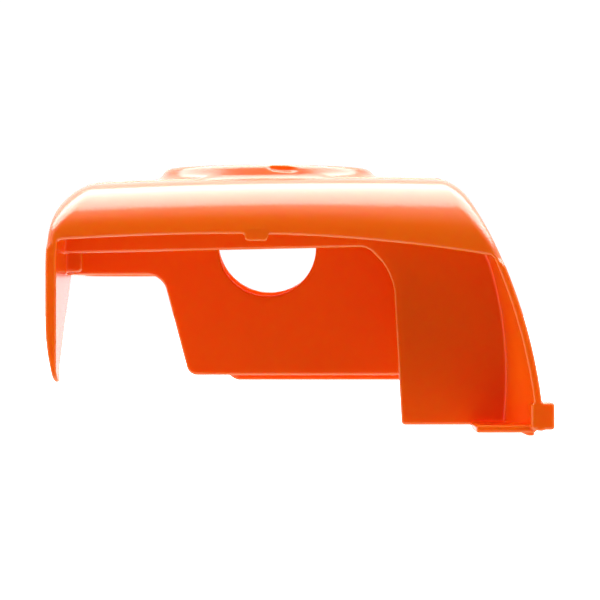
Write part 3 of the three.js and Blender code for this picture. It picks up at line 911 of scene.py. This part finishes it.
class NodeTree(NodeBench):
    """A material's node tree with short calls for the nodes used here."""

    def __init__(self, name: str) -> None:
        """Start a material with an empty Principled shader.

        Args:
            name: Name of the new material.
        """
        self.material = bpy.data.materials.new(name)
        self.material.use_nodes = True
        self.tree = self.material.node_tree
        self.shader = self.tree.nodes["Principled BSDF"]

    def stretched(
        self, place: bpy.types.NodeSocket, scale: tuple[float, float, float]
    ) -> bpy.types.NodeSocket:
        """Coordinates scaled along each axis.

        Args:
            place: Coordinates to scale.
            scale: Factor along each axis.

        Returns:
            The scaled coordinates.
        """
        mapping = self.add("ShaderNodeMapping")
        mapping.inputs["Scale"].default_value = scale
        self.link(place, mapping.inputs["Vector"])
        return mapping.outputs["Vector"]

    def noise(
        self, place: bpy.types.NodeSocket, scale: float, detail: float, rough: float
    ) -> bpy.types.NodeSocket:
        """Noise value at a place.

        Args:
            place: Coordinates to read the noise at.
            scale: Fineness of the noise.
            detail: Number of finer layers.
            rough: Strength of the finer layers.

        Returns:
            The noise value.
        """
        node = self.add("ShaderNodeTexNoise")
        node.inputs["Scale"].default_value = scale
        node.inputs["Detail"].default_value = detail
        node.inputs["Roughness"].default_value = rough
        self.link(place, node.inputs["Vector"])
        return node.outputs["Fac"]

    def ramp(self, value: bpy.types.NodeSocket, low: float, high: float) -> bpy.types.NodeSocket:
        """Value stretched from low..high to 0..1."""
        return self.span(value, low, high, 0.0, 1.0)

    def span(
        self, value: bpy.types.NodeSocket, low: float, high: float, start: float, end: float
    ) -> bpy.types.NodeSocket:
        """Value mapped from one range to another, held at its ends.

        Args:
            value: Value to map.
            low: Value that gives the start.
            high: Value that gives the end.
            start: Result at the low value.
            end: Result at the high value.

        Returns:
            The mapped value.
        """
        node = self.add("ShaderNodeMapRange")
        for socket, number in zip(("From Min", "From Max", "To Min", "To Max"), (low, high, start, end)):
            node.inputs[socket].default_value = number
        self.link(value, node.inputs["Value"])
        return node.outputs["Result"]

    def mix_color(
        self, factor: bpy.types.NodeSocket, first: tuple[float, ...], second: tuple[float, ...]
    ) -> bpy.types.NodeSocket:
        """Blend of two colours.

        Args:
            factor: Share of the second colour.
            first: First colour.
            second: Second colour.

        Returns:
            The blended colour.
        """
        node = self.add("ShaderNodeMix")
        node.data_type = "RGBA"
        node.inputs[6].default_value = (*first, 1.0)
        node.inputs[7].default_value = (*second, 1.0)
        self.link(factor, node.inputs[0])
        return node.outputs[2]

    def bump(self, height: bpy.types.NodeSocket, strength: float, distance: float) -> bpy.types.NodeSocket:
        """Normal from a height value.

        Args:
            height: Height value.
            strength: Strength of the effect.
            distance: Height of a full step, in metres.

        Returns:
            The bent normal.
        """
        node = self.add("ShaderNodeBump")
        node.inputs["Strength"].default_value = strength
        node.inputs["Distance"].default_value = distance
        self.link(height, node.inputs["Height"])
        return node.outputs["Normal"]


ORANGE = MouldedPlastic(
    "gloss_orange", (0.92, 0.168, 0.004), (0.90, 0.152, 0.004),
    0.18, 0.07, 0.8, (8.0, 3.2, 0.35), 0.05, 0.00002)
NYLON = MouldedPlastic(
    "black_nylon", (0.021, 0.022, 0.024), (0.03, 0.031, 0.034),
    0.42, 0.16, 0.0, (1.0, 1.0, 1.0), 0.22, 0.00006)
ACETAL = MouldedPlastic(
    "white_acetal", (0.78, 0.77, 0.72), (0.72, 0.71, 0.66), 0.36, 0.12, 0.15, (1.2, 1.0, 0.8), 0.06, 0.00003)
RUBBER = MouldedPlastic(
    "seal_rubber", (0.012, 0.012, 0.013), (0.02, 0.02, 0.02), 0.62, 0.2, 0.0, (1.0, 1.0, 1.0), 0.25, 0.00005)
ZINC = PlainMetal("zinc_steel", (0.62, 0.63, 0.64), 0.28, 0.3)
SPRING = PlainMetal("spring_steel", (0.36, 0.36, 0.38), 0.24, 0.15)


# ---- Studio ---------------------------------------------------------------------------------

@dataclass(frozen=True)
class SoftBox:
    """A rectangular light: where it stands, what it faces and which rays meet it."""

    name: str
    place: tuple[float, float, float]
    aim: tuple[float, float, float]
    size: tuple[float, float]
    power: float
    shades: bool
    reflects: bool


@dataclass
class Studio:
    """Camera, lights, white surroundings and floor."""

    camera_distance: float = 0.800
    camera_height: float = 0.0403
    frame_width: float = 0.1776
    sensor: float = 36.0
    backdrop: float = 1.05
    world_light: float = 1.55
    room_light: float = 0.04
    dark_side: tuple[float, float] = (-0.25, -0.75)
    dark_rise: tuple[float, float] = (-0.6, -0.2)
    floor_glow: float = 1.0
    boxes: tuple[SoftBox, ...] = (
        SoftBox("sheen", (0.0, 0.28, 0.75), (0.0, 0.28, 0.0), (2.2, 0.90), 48.0, False, True),
        SoftBox("fill", (0.0, 0.0, 0.75), (0.0, 0.0, 0.05), (1.4, 1.0), 9.0, True, False),
        SoftBox("behind", (0.1, 0.9, 0.25), (0.0, 0.0, 0.03), (1.0, 0.7), 7.0, True, False),
    )

    def camera(self, mouth_y: float) -> None:
        """Long lens level with the middle of the mouth.

        Args:
            mouth_y: Place of the mouth on Y, in metres.
        """
        data = bpy.data.cameras.new("camera")
        data.sensor_width = self.sensor
        data.lens = self.sensor * self.camera_distance / self.frame_width
        data.clip_end = 50.0
        eye = bpy.data.objects.new("camera", data)
        eye.location = (0.0, mouth_y - self.camera_distance, self.camera_height)
        eye.rotation_euler = (math.pi / 2.0, 0.0, 0.0)
        bpy.context.scene.collection.objects.link(eye)
        bpy.context.scene.camera = eye

    def softbox(self, box: SoftBox) -> None:
        """Rectangular light facing a point, for shading, for reflections or for both.

        Args:
            box: Sizes, place and reach of the light.
        """
        data = bpy.data.lights.new(box.name, "AREA")
        data.shape = "RECTANGLE"
        data.size, data.size_y = box.size
        data.energy = box.power
        light = bpy.data.objects.new(box.name, data)
        light.location = box.place
        light.rotation_euler = (Vector(box.aim) - Vector(box.place)).to_track_quat("-Z", "Y").to_euler()
        light.visible_diffuse = box.shades
        light.visible_transmission = box.shades
        light.visible_glossy = box.reflects
        light.visible_camera = False
        bpy.context.scene.collection.objects.link(light)

    def world(self) -> None:
        """White surroundings with the dark side of the room in front of the cover."""
        world = bpy.data.worlds.new("studio")
        world.use_nodes = True
        nodes, links = world.node_tree.nodes, world.node_tree.links

        def node(kind: str, operation: str = "") -> bpy.types.Node:
            """Add one node to the world.

            Args:
                kind: Blender's name of the node type.
                operation: Operation to set, where the node has one.

            Returns:
                The new node.
            """
            made = nodes.new(kind)
            if operation:
                made.operation = operation
            return made

        def fade(source: bpy.types.NodeSocket, limits: tuple[float, float]) -> bpy.types.NodeSocket:
            """Soft step between two values.

            Args:
                source: Value to fade.
                limits: Values that give 0 and 1.

            Returns:
                The faded value.
            """
            step = node("ShaderNodeMapRange")
            step.interpolation_type = "SMOOTHSTEP"
            step.inputs["From Min"].default_value, step.inputs["From Max"].default_value = limits
            links.new(source, step.inputs["Value"])
            return step.outputs["Result"]

        background = nodes["Background"]
        background.inputs["Color"].default_value = (1.0, 1.0, 1.0, 1.0)
        axes = node("ShaderNodeSeparateXYZ")
        links.new(node("ShaderNodeTexCoord").outputs["Generated"], axes.inputs["Vector"])
        front = node("ShaderNodeMath", "MULTIPLY")
        links.new(fade(axes.outputs["Y"], self.dark_side), front.inputs[0])
        links.new(fade(axes.outputs["Z"], self.dark_rise), front.inputs[1])
        lit = node("ShaderNodeMapRange")
        lit.inputs["To Min"].default_value = self.world_light
        lit.inputs["To Max"].default_value = self.room_light
        links.new(front.outputs["Value"], lit.inputs["Value"])
        seen = node("ShaderNodeMix")
        seen.inputs["B"].default_value = self.backdrop
        links.new(node("ShaderNodeLightPath").outputs["Is Camera Ray"], seen.inputs["Factor"])
        links.new(lit.outputs["Result"], seen.inputs["A"])
        links.new(seen.outputs["Result"], background.inputs["Strength"])
        bpy.context.scene.world = world

    def floor(self) -> None:
        """Pale floor under the cover."""
        bm = bmesh.new()
        bmesh.ops.create_grid(bm, x_segments=8, y_segments=8, size=6.0)
        mesh = bpy.data.meshes.new("floor")
        bm.to_mesh(mesh)
        bm.free()
        mesh.transform(Matrix.Translation((0.0, 0.0, CAD_BOX[0][2] - 0.0002)))
        floor = bpy.data.objects.new("floor", mesh)
        bpy.context.scene.collection.objects.link(floor)
        tree = NodeTree("pale_floor")
        tree.shader.inputs["Base Color"].default_value = (0.9, 0.9, 0.9, 1.0)
        tree.shader.inputs["Roughness"].default_value = 0.9
        tree.shader.inputs["Emission Color"].default_value = (1.0, 1.0, 1.0, 1.0)
        tree.shader.inputs["Emission Strength"].default_value = self.floor_glow
        mesh.materials.append(tree.material)
        floor.visible_diffuse = False
        floor.visible_glossy = False

    def build(self) -> None:
        """Set up the whole studio."""
        scene = bpy.context.scene
        scene.view_settings.view_transform = "Standard"
        scene.view_settings.look = "None"
        self.camera(CAD_BOX[0][1])
        self.world()
        self.floor()
        for box in self.boxes:
            self.softbox(box)


# ---- The quarter-turn lock ------------------------------------------------------------------

@dataclass
class LockSizes:
    """Sizes of the lock's pieces in millimetres, with heights read from the CAD nodes."""

    x: float = -10.2
    y: float = 0.0
    stem: float = 4.0
    gap: float = 0.3
    bush_wall: float = 1.9
    bush_flange: float = 9.6
    bush_flange_thick: float = 1.2
    knob: float = 17.6
    knob_rim: float = 2.2
    knob_socket: float = 2.0
    knob_floor: float = 2.6
    grip: float = 8.4
    grip_waist: float = 1.1
    screw_head: float = 3.4
    screw_thick: float = 1.2
    screw: float = 1.6
    ring_wire: float = 0.5
    spring_wire: float = 0.5
    spring_radius: float = 8.1
    spring_turns: float = 3.5
    washer: float = 9.4
    clip: float = 6.6
    clip_groove: float = 1.0
    pin: float = 1.25
    pin_length: float = 17.4
    lift: float = 2.5

    def heights(self, node: str) -> tuple[float, float]:
        """Lowest and highest point of a CAD node, in millimetres."""
        low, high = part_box(node)
        return low[2] / MM, high[2] / MM


@dataclass
class QuarterTurnLock:
    """Knob, screw, stem, pin, bush, seal, spring, washer and clip on the lock's axis."""

    sizes: LockSizes = field(default_factory=LockSizes)
    voxel: float = 0.16
    faces: int = 60_000
    rib_count: int = 60
    rib_reach: float = 0.28
    cross_arm: tuple[float, float] = (1.75, 0.42)

    def polar(self, p: Points) -> tuple[Values, Values, Values, Values]:
        """Distance from the axis, both offsets from it, and height."""
        x, y = p[:, 0] - self.sizes.x, p[:, 1] - self.sizes.y
        return np.hypot(x, y), x, y, p[:, 2]

    def shape(
        self, name: str, node: str, at: Callable[[Points], Values], voxel: float
    ) -> bpy.types.Object:
        """Mesh a field within its CAD node's box.

        Args:
            name: Name of the new object.
            node: CAD node that the box is read from.
            at: Field to mesh.
            voxel: Grid step in millimetres.

        Returns:
            The new object.
        """
        low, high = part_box(node)
        margin = 1.2
        lower = tuple(value / MM - margin for value in low)
        upper = tuple(value / MM + margin for value in high)
        return FieldMesher(at, lower, upper, voxel, self.faces).mesh(name)

    def knob_field(self, p: Points) -> Values:
        """Dished knob with a waisted grip bar, a stem socket and a screw seat.

        Args:
            p: Points in millimetres, one per row.

        Returns:
            Field values, negative inside.
        """
        s = self.sizes
        low, high = s.heights("lock_knob")
        r, x, y, z = self.polar(p)
        disc = meet(r - s.knob, slab(z, low, high), 0.7)
        dish = meet(r - (s.knob - s.knob_rim - 0.6), low + s.knob_floor - z, 1.1)
        body = meet(disc, -dish, 0.5)
        bar_half = s.grip / 2.0 - s.grip_waist * (1.0 - (x / s.knob) ** 2)
        bar = meet(meet(np.abs(y) - bar_half, r - s.knob + 1.0, 0.6), slab(z, low + 0.6, high), 0.75)
        mark = meet(slab(z, high - 0.35, high + 1.0), np.maximum(np.abs(y) - (x - 9.6) * 0.5, x - 12.6), 0.1)
        body = weld(body, bar, 0.8)
        socket = meet(r - (s.stem + s.gap), z - (low + s.knob_socket), 0.3)
        seat = meet(r - (s.screw_head + s.gap), self.screw_seat() - s.gap - z, 0.25)
        hole = r - (s.screw + s.gap)
        cuts = np.minimum(np.minimum(socket, seat), np.minimum(hole, mark))
        return meet(body, -cuts, 0.2)

    def screw_seat(self) -> float:
        """Height of the screw head's underside."""
        return self.sizes.heights("knob_screw")[1] - self.sizes.screw_thick

    def screw_field(self, p: Points) -> Values:
        """Cheese-head screw with a cross recess and a rolled thread.

        Args:
            p: Points in millimetres, one per row.

        Returns:
            Field values, negative inside.
        """
        s = self.sizes
        low, high = s.heights("knob_screw")
        r, x, y, z = self.polar(p)
        head = meet(r - s.screw_head, slab(z, self.screw_seat(), high), 0.4)
        turn = np.arctan2(y, x) / (2.0 * math.pi)
        thread = 0.12 * np.abs(2.0 * np.mod(z / 0.7 - turn, 1.0) - 1.0)
        shank = meet(r - s.screw + thread, slab(z, low, self.screw_seat() + 0.3), 0.2)
        u, v = (x + y) / math.sqrt(2.0), (x - y) / math.sqrt(2.0)
        long, thin = self.cross_arm
        arms = np.minimum(
            np.maximum(np.abs(u) - long, np.abs(v) - thin), np.maximum(np.abs(v) - long, np.abs(u) - thin))
        recess = np.maximum(arms, high - 0.75 - z)
        return meet(weld(head, shank, 0.15), -recess, 0.08)

    def stem_field(self, p: Points) -> Values:
        """Turned stem with grooves for the clip and the seal, and a cross hole.

        Args:
            p: Points in millimetres, one per row.

        Returns:
            Field values, negative inside.
        """
        s = self.sizes
        low, high = s.heights("lock_stem")
        r, x, y, z = self.polar(p)
        body = meet(r - s.stem, slab(z, low, high), 0.6)
        clip_low, clip_high = s.heights("retaining_clip")
        groove = np.maximum(s.stem - s.clip_groove - r, slab(z, clip_low - s.gap, clip_high + s.gap))
        ring = sum(s.heights("sealing_ring")) / 2.0
        neck = s.stem - 2.0 * s.ring_wire - s.gap
        seat = np.maximum(neck - r, np.abs(z - ring) - s.ring_wire - s.gap)
        pin_z = sum(s.heights("cross_pin")) / 2.0
        hole = np.hypot(y, z - pin_z) - s.pin - s.gap
        bore = np.maximum(r - 1.9, high - 9.0 - z)
        return meet(body, -np.minimum(np.minimum(groove, seat), np.minimum(hole, bore)), 0.12)

    def pin_field(self, p: Points) -> Values:
        """Cross pin with domed ends.

        Args:
            p: Points in millimetres, one per row.

        Returns:
            Field values, negative inside.
        """
        s = self.sizes
        _, x, y, z = self.polar(p)
        middle = sum(s.heights("cross_pin")) / 2.0
        return meet(np.hypot(y, z - middle) - s.pin, np.abs(x) - s.pin_length / 2.0, 0.5)

    def bush_field(self, p: Points) -> Values:
        """Flanged bush with lead-in edges.

        Args:
            p: Points in millimetres, one per row.

        Returns:
            Field values, negative inside.
        """
        s = self.sizes
        low, high = s.heights("lock_bush")
        r, _, _, z = self.polar(p)
        flange = meet(r - s.bush_flange, slab(z, high - s.bush_flange_thick, high), 0.35)
        barrel = meet(r - s.stem - s.gap - s.bush_wall, slab(z, low, high - 0.4), 0.4)
        return meet(weld(flange, barrel, 0.2), s.stem + s.gap - r, 0.3)

    def seal_field(self, p: Points) -> Values:
        """Round rubber ring.

        Args:
            p: Points in millimetres, one per row.

        Returns:
            Field values, negative inside.
        """
        s = self.sizes
        r, _, _, z = self.polar(p)
        return np.hypot(r - s.stem + s.ring_wire, z - sum(s.heights("sealing_ring")) / 2.0) - s.ring_wire

    def washer_field(self, p: Points) -> Values:
        """Spring washer with rolled edges.

        Args:
            p: Points in millimetres, one per row.

        Returns:
            Field values, negative inside.
        """
        s = self.sizes
        low, high = s.heights("spring_washer")
        r, _, _, z = self.polar(p)
        return meet(meet(r - s.washer, s.stem + s.gap - r, 0.3), slab(z, low, high), 0.3)

    def clip_field(self, p: Points) -> Values:
        """Open retaining clip with three lobes on the stem.

        Args:
            p: Points in millimetres, one per row.

        Returns:
            Field values, negative inside.
        """
        s = self.sizes
        low, high = s.heights("retaining_clip")
        r, x, y, z = self.polar(p)
        inner = s.stem - s.clip_groove + s.gap
        mouth = np.maximum(np.abs(x) - inner * 0.8, y)
        angle = np.arctan2(y, x)
        windows = inner + 0.75 * np.clip(np.cos(3.0 * angle + math.pi / 2.0) * 2.0, 0.0, 1.0)
        outline = np.maximum(np.maximum(r - s.clip, windows - r), -mouth)
        return meet(outline, slab(z, low, high), 0.2)

    def spring(self) -> bpy.types.Object:
        """Coil spring with closed ends, swept along its helix by geometry nodes.

        Returns:
            The finished spring.
        """
        s = self.sizes
        low, high = s.heights("lock_spring")
        turns = np.linspace(0.0, 1.0, 260)
        ends = 0.75 / s.spring_turns
        closed = 2.2 * s.spring_wire
        climb = np.clip((turns - ends) / (1.0 - 2.0 * ends), 0.0, 1.0)
        flat = closed * (np.minimum(turns / ends, 1.0) + np.maximum((turns - 1.0 + ends) / ends, 0.0))
        z = low + s.spring_wire + flat + (high - low - 2.0 * s.spring_wire - 2.0 * closed) * climb
        angle = 2.0 * math.pi * s.spring_turns * turns
        x, y = s.x + s.spring_radius * np.cos(angle), s.y + s.spring_radius * np.sin(angle)
        path = np.stack([x, y, z], axis=1)
        mesh = bpy.data.meshes.new("coil_spring")
        mesh.from_pydata((path * MM).tolist(), [(i, i + 1) for i in range(len(path) - 1)], [])
        piece = bpy.data.objects.new("coil_spring", mesh)
        bpy.context.scene.collection.objects.link(piece)
        tree = GeometryTree("spring_sweep", {"Wire radius": 0.0005})
        tree.sweep(16, SPRING.material())
        tree.run(piece, {"Wire radius": s.spring_wire * MM})
        return piece

    def grip_ribs(self) -> bpy.types.Object:
        """Fine ribs round the knob's edge, one rib turned round the axis by geometry nodes.

        Returns:
            All ribs as one object.
        """
        s = self.sizes
        low, high = s.heights("lock_knob")

        def bead(p: Points) -> Values:
            """Upright half-round bead on the knob's edge."""
            away = np.hypot(p[:, 0] - s.knob, p[:, 1]) - self.rib_reach
            return meet(away, slab(p[:, 2], low + 1.0, high - 0.9), 0.2)

        near = 1.2
        lower, upper = (s.knob - near, -near, low), (s.knob + near, near, high)
        rib = FieldMesher(bead, lower, upper, 0.2, 220).mesh("knob_ribs")
        tree = GeometryTree("rib_ring", {"Count": 24.0})
        tree.ring((s.x * MM, s.y * MM, 0.0), NYLON.material())
        tree.run(rib, {"Count": float(self.rib_count)})
        return rib

    def place(
        self, name: str, node: str, at: Callable[[Points], Values], voxel: float, body: Body, slot: Slot,
        materials: dict[Slot, bpy.types.Material]
    ) -> None:
        """Mesh one field and let it stand for its CAD node."""
        place_piece(self.shape(name, node, at, voxel), body, slot, materials[slot], node)

    def build(self) -> None:
        """Make and dress every piece of the lock."""
        materials = {
            Slot.NYLON: NYLON.material(), Slot.ZINC: ZINC.material(), Slot.RUBBER: RUBBER.material(),
            Slot.ACETAL: ACETAL.material(), Slot.SPRING: SPRING.material()}
        cover, rotor = Body.COVER, Body.ROTOR
        self.place("turn_knob", "lock_knob", self.knob_field, 0.2, rotor, Slot.NYLON, materials)
        ribs = self.grip_ribs()
        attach(ribs, rotor.value)
        for name, node, at, voxel, body, slot in (
            ("cross_screw", "knob_screw", self.screw_field, 0.09, rotor, Slot.ZINC),
            ("turned_stem", "lock_stem", self.stem_field, self.voxel, rotor, Slot.ZINC),
            ("dowel_pin", "cross_pin", self.pin_field, self.voxel, rotor, Slot.ZINC),
            ("stem_seal", "sealing_ring", self.seal_field, 0.1, rotor, Slot.RUBBER),
            ("flanged_bush", "lock_bush", self.bush_field, self.voxel, cover, Slot.ACETAL),
            ("plain_washer", "spring_washer", self.washer_field, self.voxel, Body.FLOAT, Slot.ZINC),
            ("open_clip", "retaining_clip", self.clip_field, 0.12, rotor, Slot.SPRING),
        ):
            self.place(name, node, at, voxel, body, slot, materials)
        spring = self.spring()
        place_piece(spring, cover, Slot.SPRING, spring.data.materials[0], "lock_spring")
        low, high = self.sizes.heights("lock_spring")
        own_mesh(spring)


class GeometryTree(NodeBench):
    """A geometry-nodes tree with named number inputs, run once on a piece."""

    def __init__(self, name: str, inputs: dict[str, float]) -> None:
        """Start a tree with a geometry input and the given number inputs.

        Args:
            name: Name of the new tree.
            inputs: Number inputs with their first values.
        """
        self.tree = bpy.data.node_groups.new(name, "GeometryNodeTree")
        self.tree.interface.new_socket("Geometry", in_out="INPUT", socket_type="NodeSocketGeometry")
        self.keys: dict[str, str] = {}
        for label, value in inputs.items():
            socket = self.tree.interface.new_socket(label, in_out="INPUT", socket_type="NodeSocketFloat")
            socket.default_value = value
            self.keys[label] = socket.identifier
        self.tree.interface.new_socket("Geometry", in_out="OUTPUT", socket_type="NodeSocketGeometry")
        self.start = self.add("NodeGroupInput")
        self.end = self.add("NodeGroupOutput")

    def finish(self, geometry: bpy.types.NodeSocket, material: bpy.types.Material) -> None:
        """End with real geometry and its material.

        Args:
            geometry: Geometry to end with.
            material: Material that the result gets.
        """
        real, paint = self.add("GeometryNodeRealizeInstances"), self.add("GeometryNodeSetMaterial")
        paint.inputs["Material"].default_value = material
        self.link(geometry, real.inputs["Geometry"])
        self.link(real.outputs["Geometry"], paint.inputs["Geometry"])
        self.link(paint.outputs["Geometry"], self.end.inputs["Geometry"])

    def sweep(self, sides: int, material: bpy.types.Material) -> None:
        """Sweep a round wire along the incoming edges.

        Args:
            sides: Number of sides round the wire.
            material: Material that the result gets.
        """
        path, circle = self.add("GeometryNodeMeshToCurve"), self.add("GeometryNodeCurvePrimitiveCircle")
        wire = self.add("GeometryNodeCurveToMesh")
        circle.inputs["Resolution"].default_value = sides
        wire.inputs["Fill Caps"].default_value = True
        self.link(self.start.outputs["Geometry"], path.inputs["Mesh"])
        self.link(self.start.outputs["Wire radius"], circle.inputs["Radius"])
        self.link(path.outputs["Curve"], wire.inputs["Curve"])
        self.link(circle.outputs["Curve"], wire.inputs["Profile Curve"])
        smooth_shade = self.add("GeometryNodeSetShadeSmooth")
        self.link(wire.outputs["Mesh"], smooth_shade.inputs["Geometry"])
        self.finish(smooth_shade.outputs["Geometry"], material)

    def ring(self, centre: tuple[float, float, float], material: bpy.types.Material) -> None:
        """Copies of the incoming geometry turned evenly round an upright axis.

        Args:
            centre: Point on the axis, in metres.
            material: Material that the result gets.
        """
        points, copies = self.add("GeometryNodePoints"), self.add("GeometryNodeInstanceOnPoints")
        index = self.add("GeometryNodeInputIndex")
        turn, angle = self.add("ShaderNodeMath"), self.add("ShaderNodeMath")
        spin = self.add("ShaderNodeCombineXYZ")
        turn.operation, angle.operation = "DIVIDE", "MULTIPLY"
        angle.inputs[1].default_value = 2.0 * math.pi
        points.inputs["Position"].default_value = centre
        self.link(self.start.outputs["Count"], points.inputs["Count"])
        self.link(index.outputs["Index"], turn.inputs[0])
        self.link(self.start.outputs["Count"], turn.inputs[1])
        self.link(turn.outputs["Value"], angle.inputs[0])
        self.link(angle.outputs["Value"], spin.inputs["Z"])
        self.link(points.outputs["Points"], copies.inputs["Points"])
        self.link(self.start.outputs["Geometry"], copies.inputs["Instance"])
        self.link(spin.outputs["Vector"], copies.inputs["Rotation"])
        self.finish(copies.outputs["Instances"], material)

    def run(self, piece: bpy.types.Object, values: dict[str, float]) -> None:
        """Apply the tree to a piece and keep the result as its plain mesh.

        Args:
            piece: Object to change.
            values: Value of each named input.
        """
        modifier = piece.modifiers.new("nodes", "NODES")
        modifier.node_group = self.tree
        for label, value in values.items():
            modifier[self.keys[label]] = value
        apply_modifiers(piece)


# ---- Assembly -------------------------------------------------------------------------------

def place_piece(
    piece: bpy.types.Object, body: Body, slot: Slot, material: bpy.types.Material, node: str
) -> None:
    """Dress a finished piece and let it stand for its CAD node.

    Args:
        piece: Object to change.
        body: Body that carries it.
        slot: Material slot of the record; not used.
        material: Material that the result gets.
        node: CAD node that it stands for.
    """
    piece.data.materials.clear()
    piece.data.materials.append(material)
    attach(piece, body.value)
    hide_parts(node)
    LOG.info("%s: %d faces", piece.name, len(piece.data.polygons))


def main() -> None:
    """Build every piece in order."""
    logging.basicConfig(level=logging.INFO, format="%(name)s: %(message)s")
    Studio().build()
    cover = CoverMoulding().mesh("moulded_cover")
    place_piece(cover, Body.COVER, Slot.ORANGE, ORANGE.material(), "cover_shell")
    QuarterTurnLock().build()


if __name__ == "__main__":
    main()
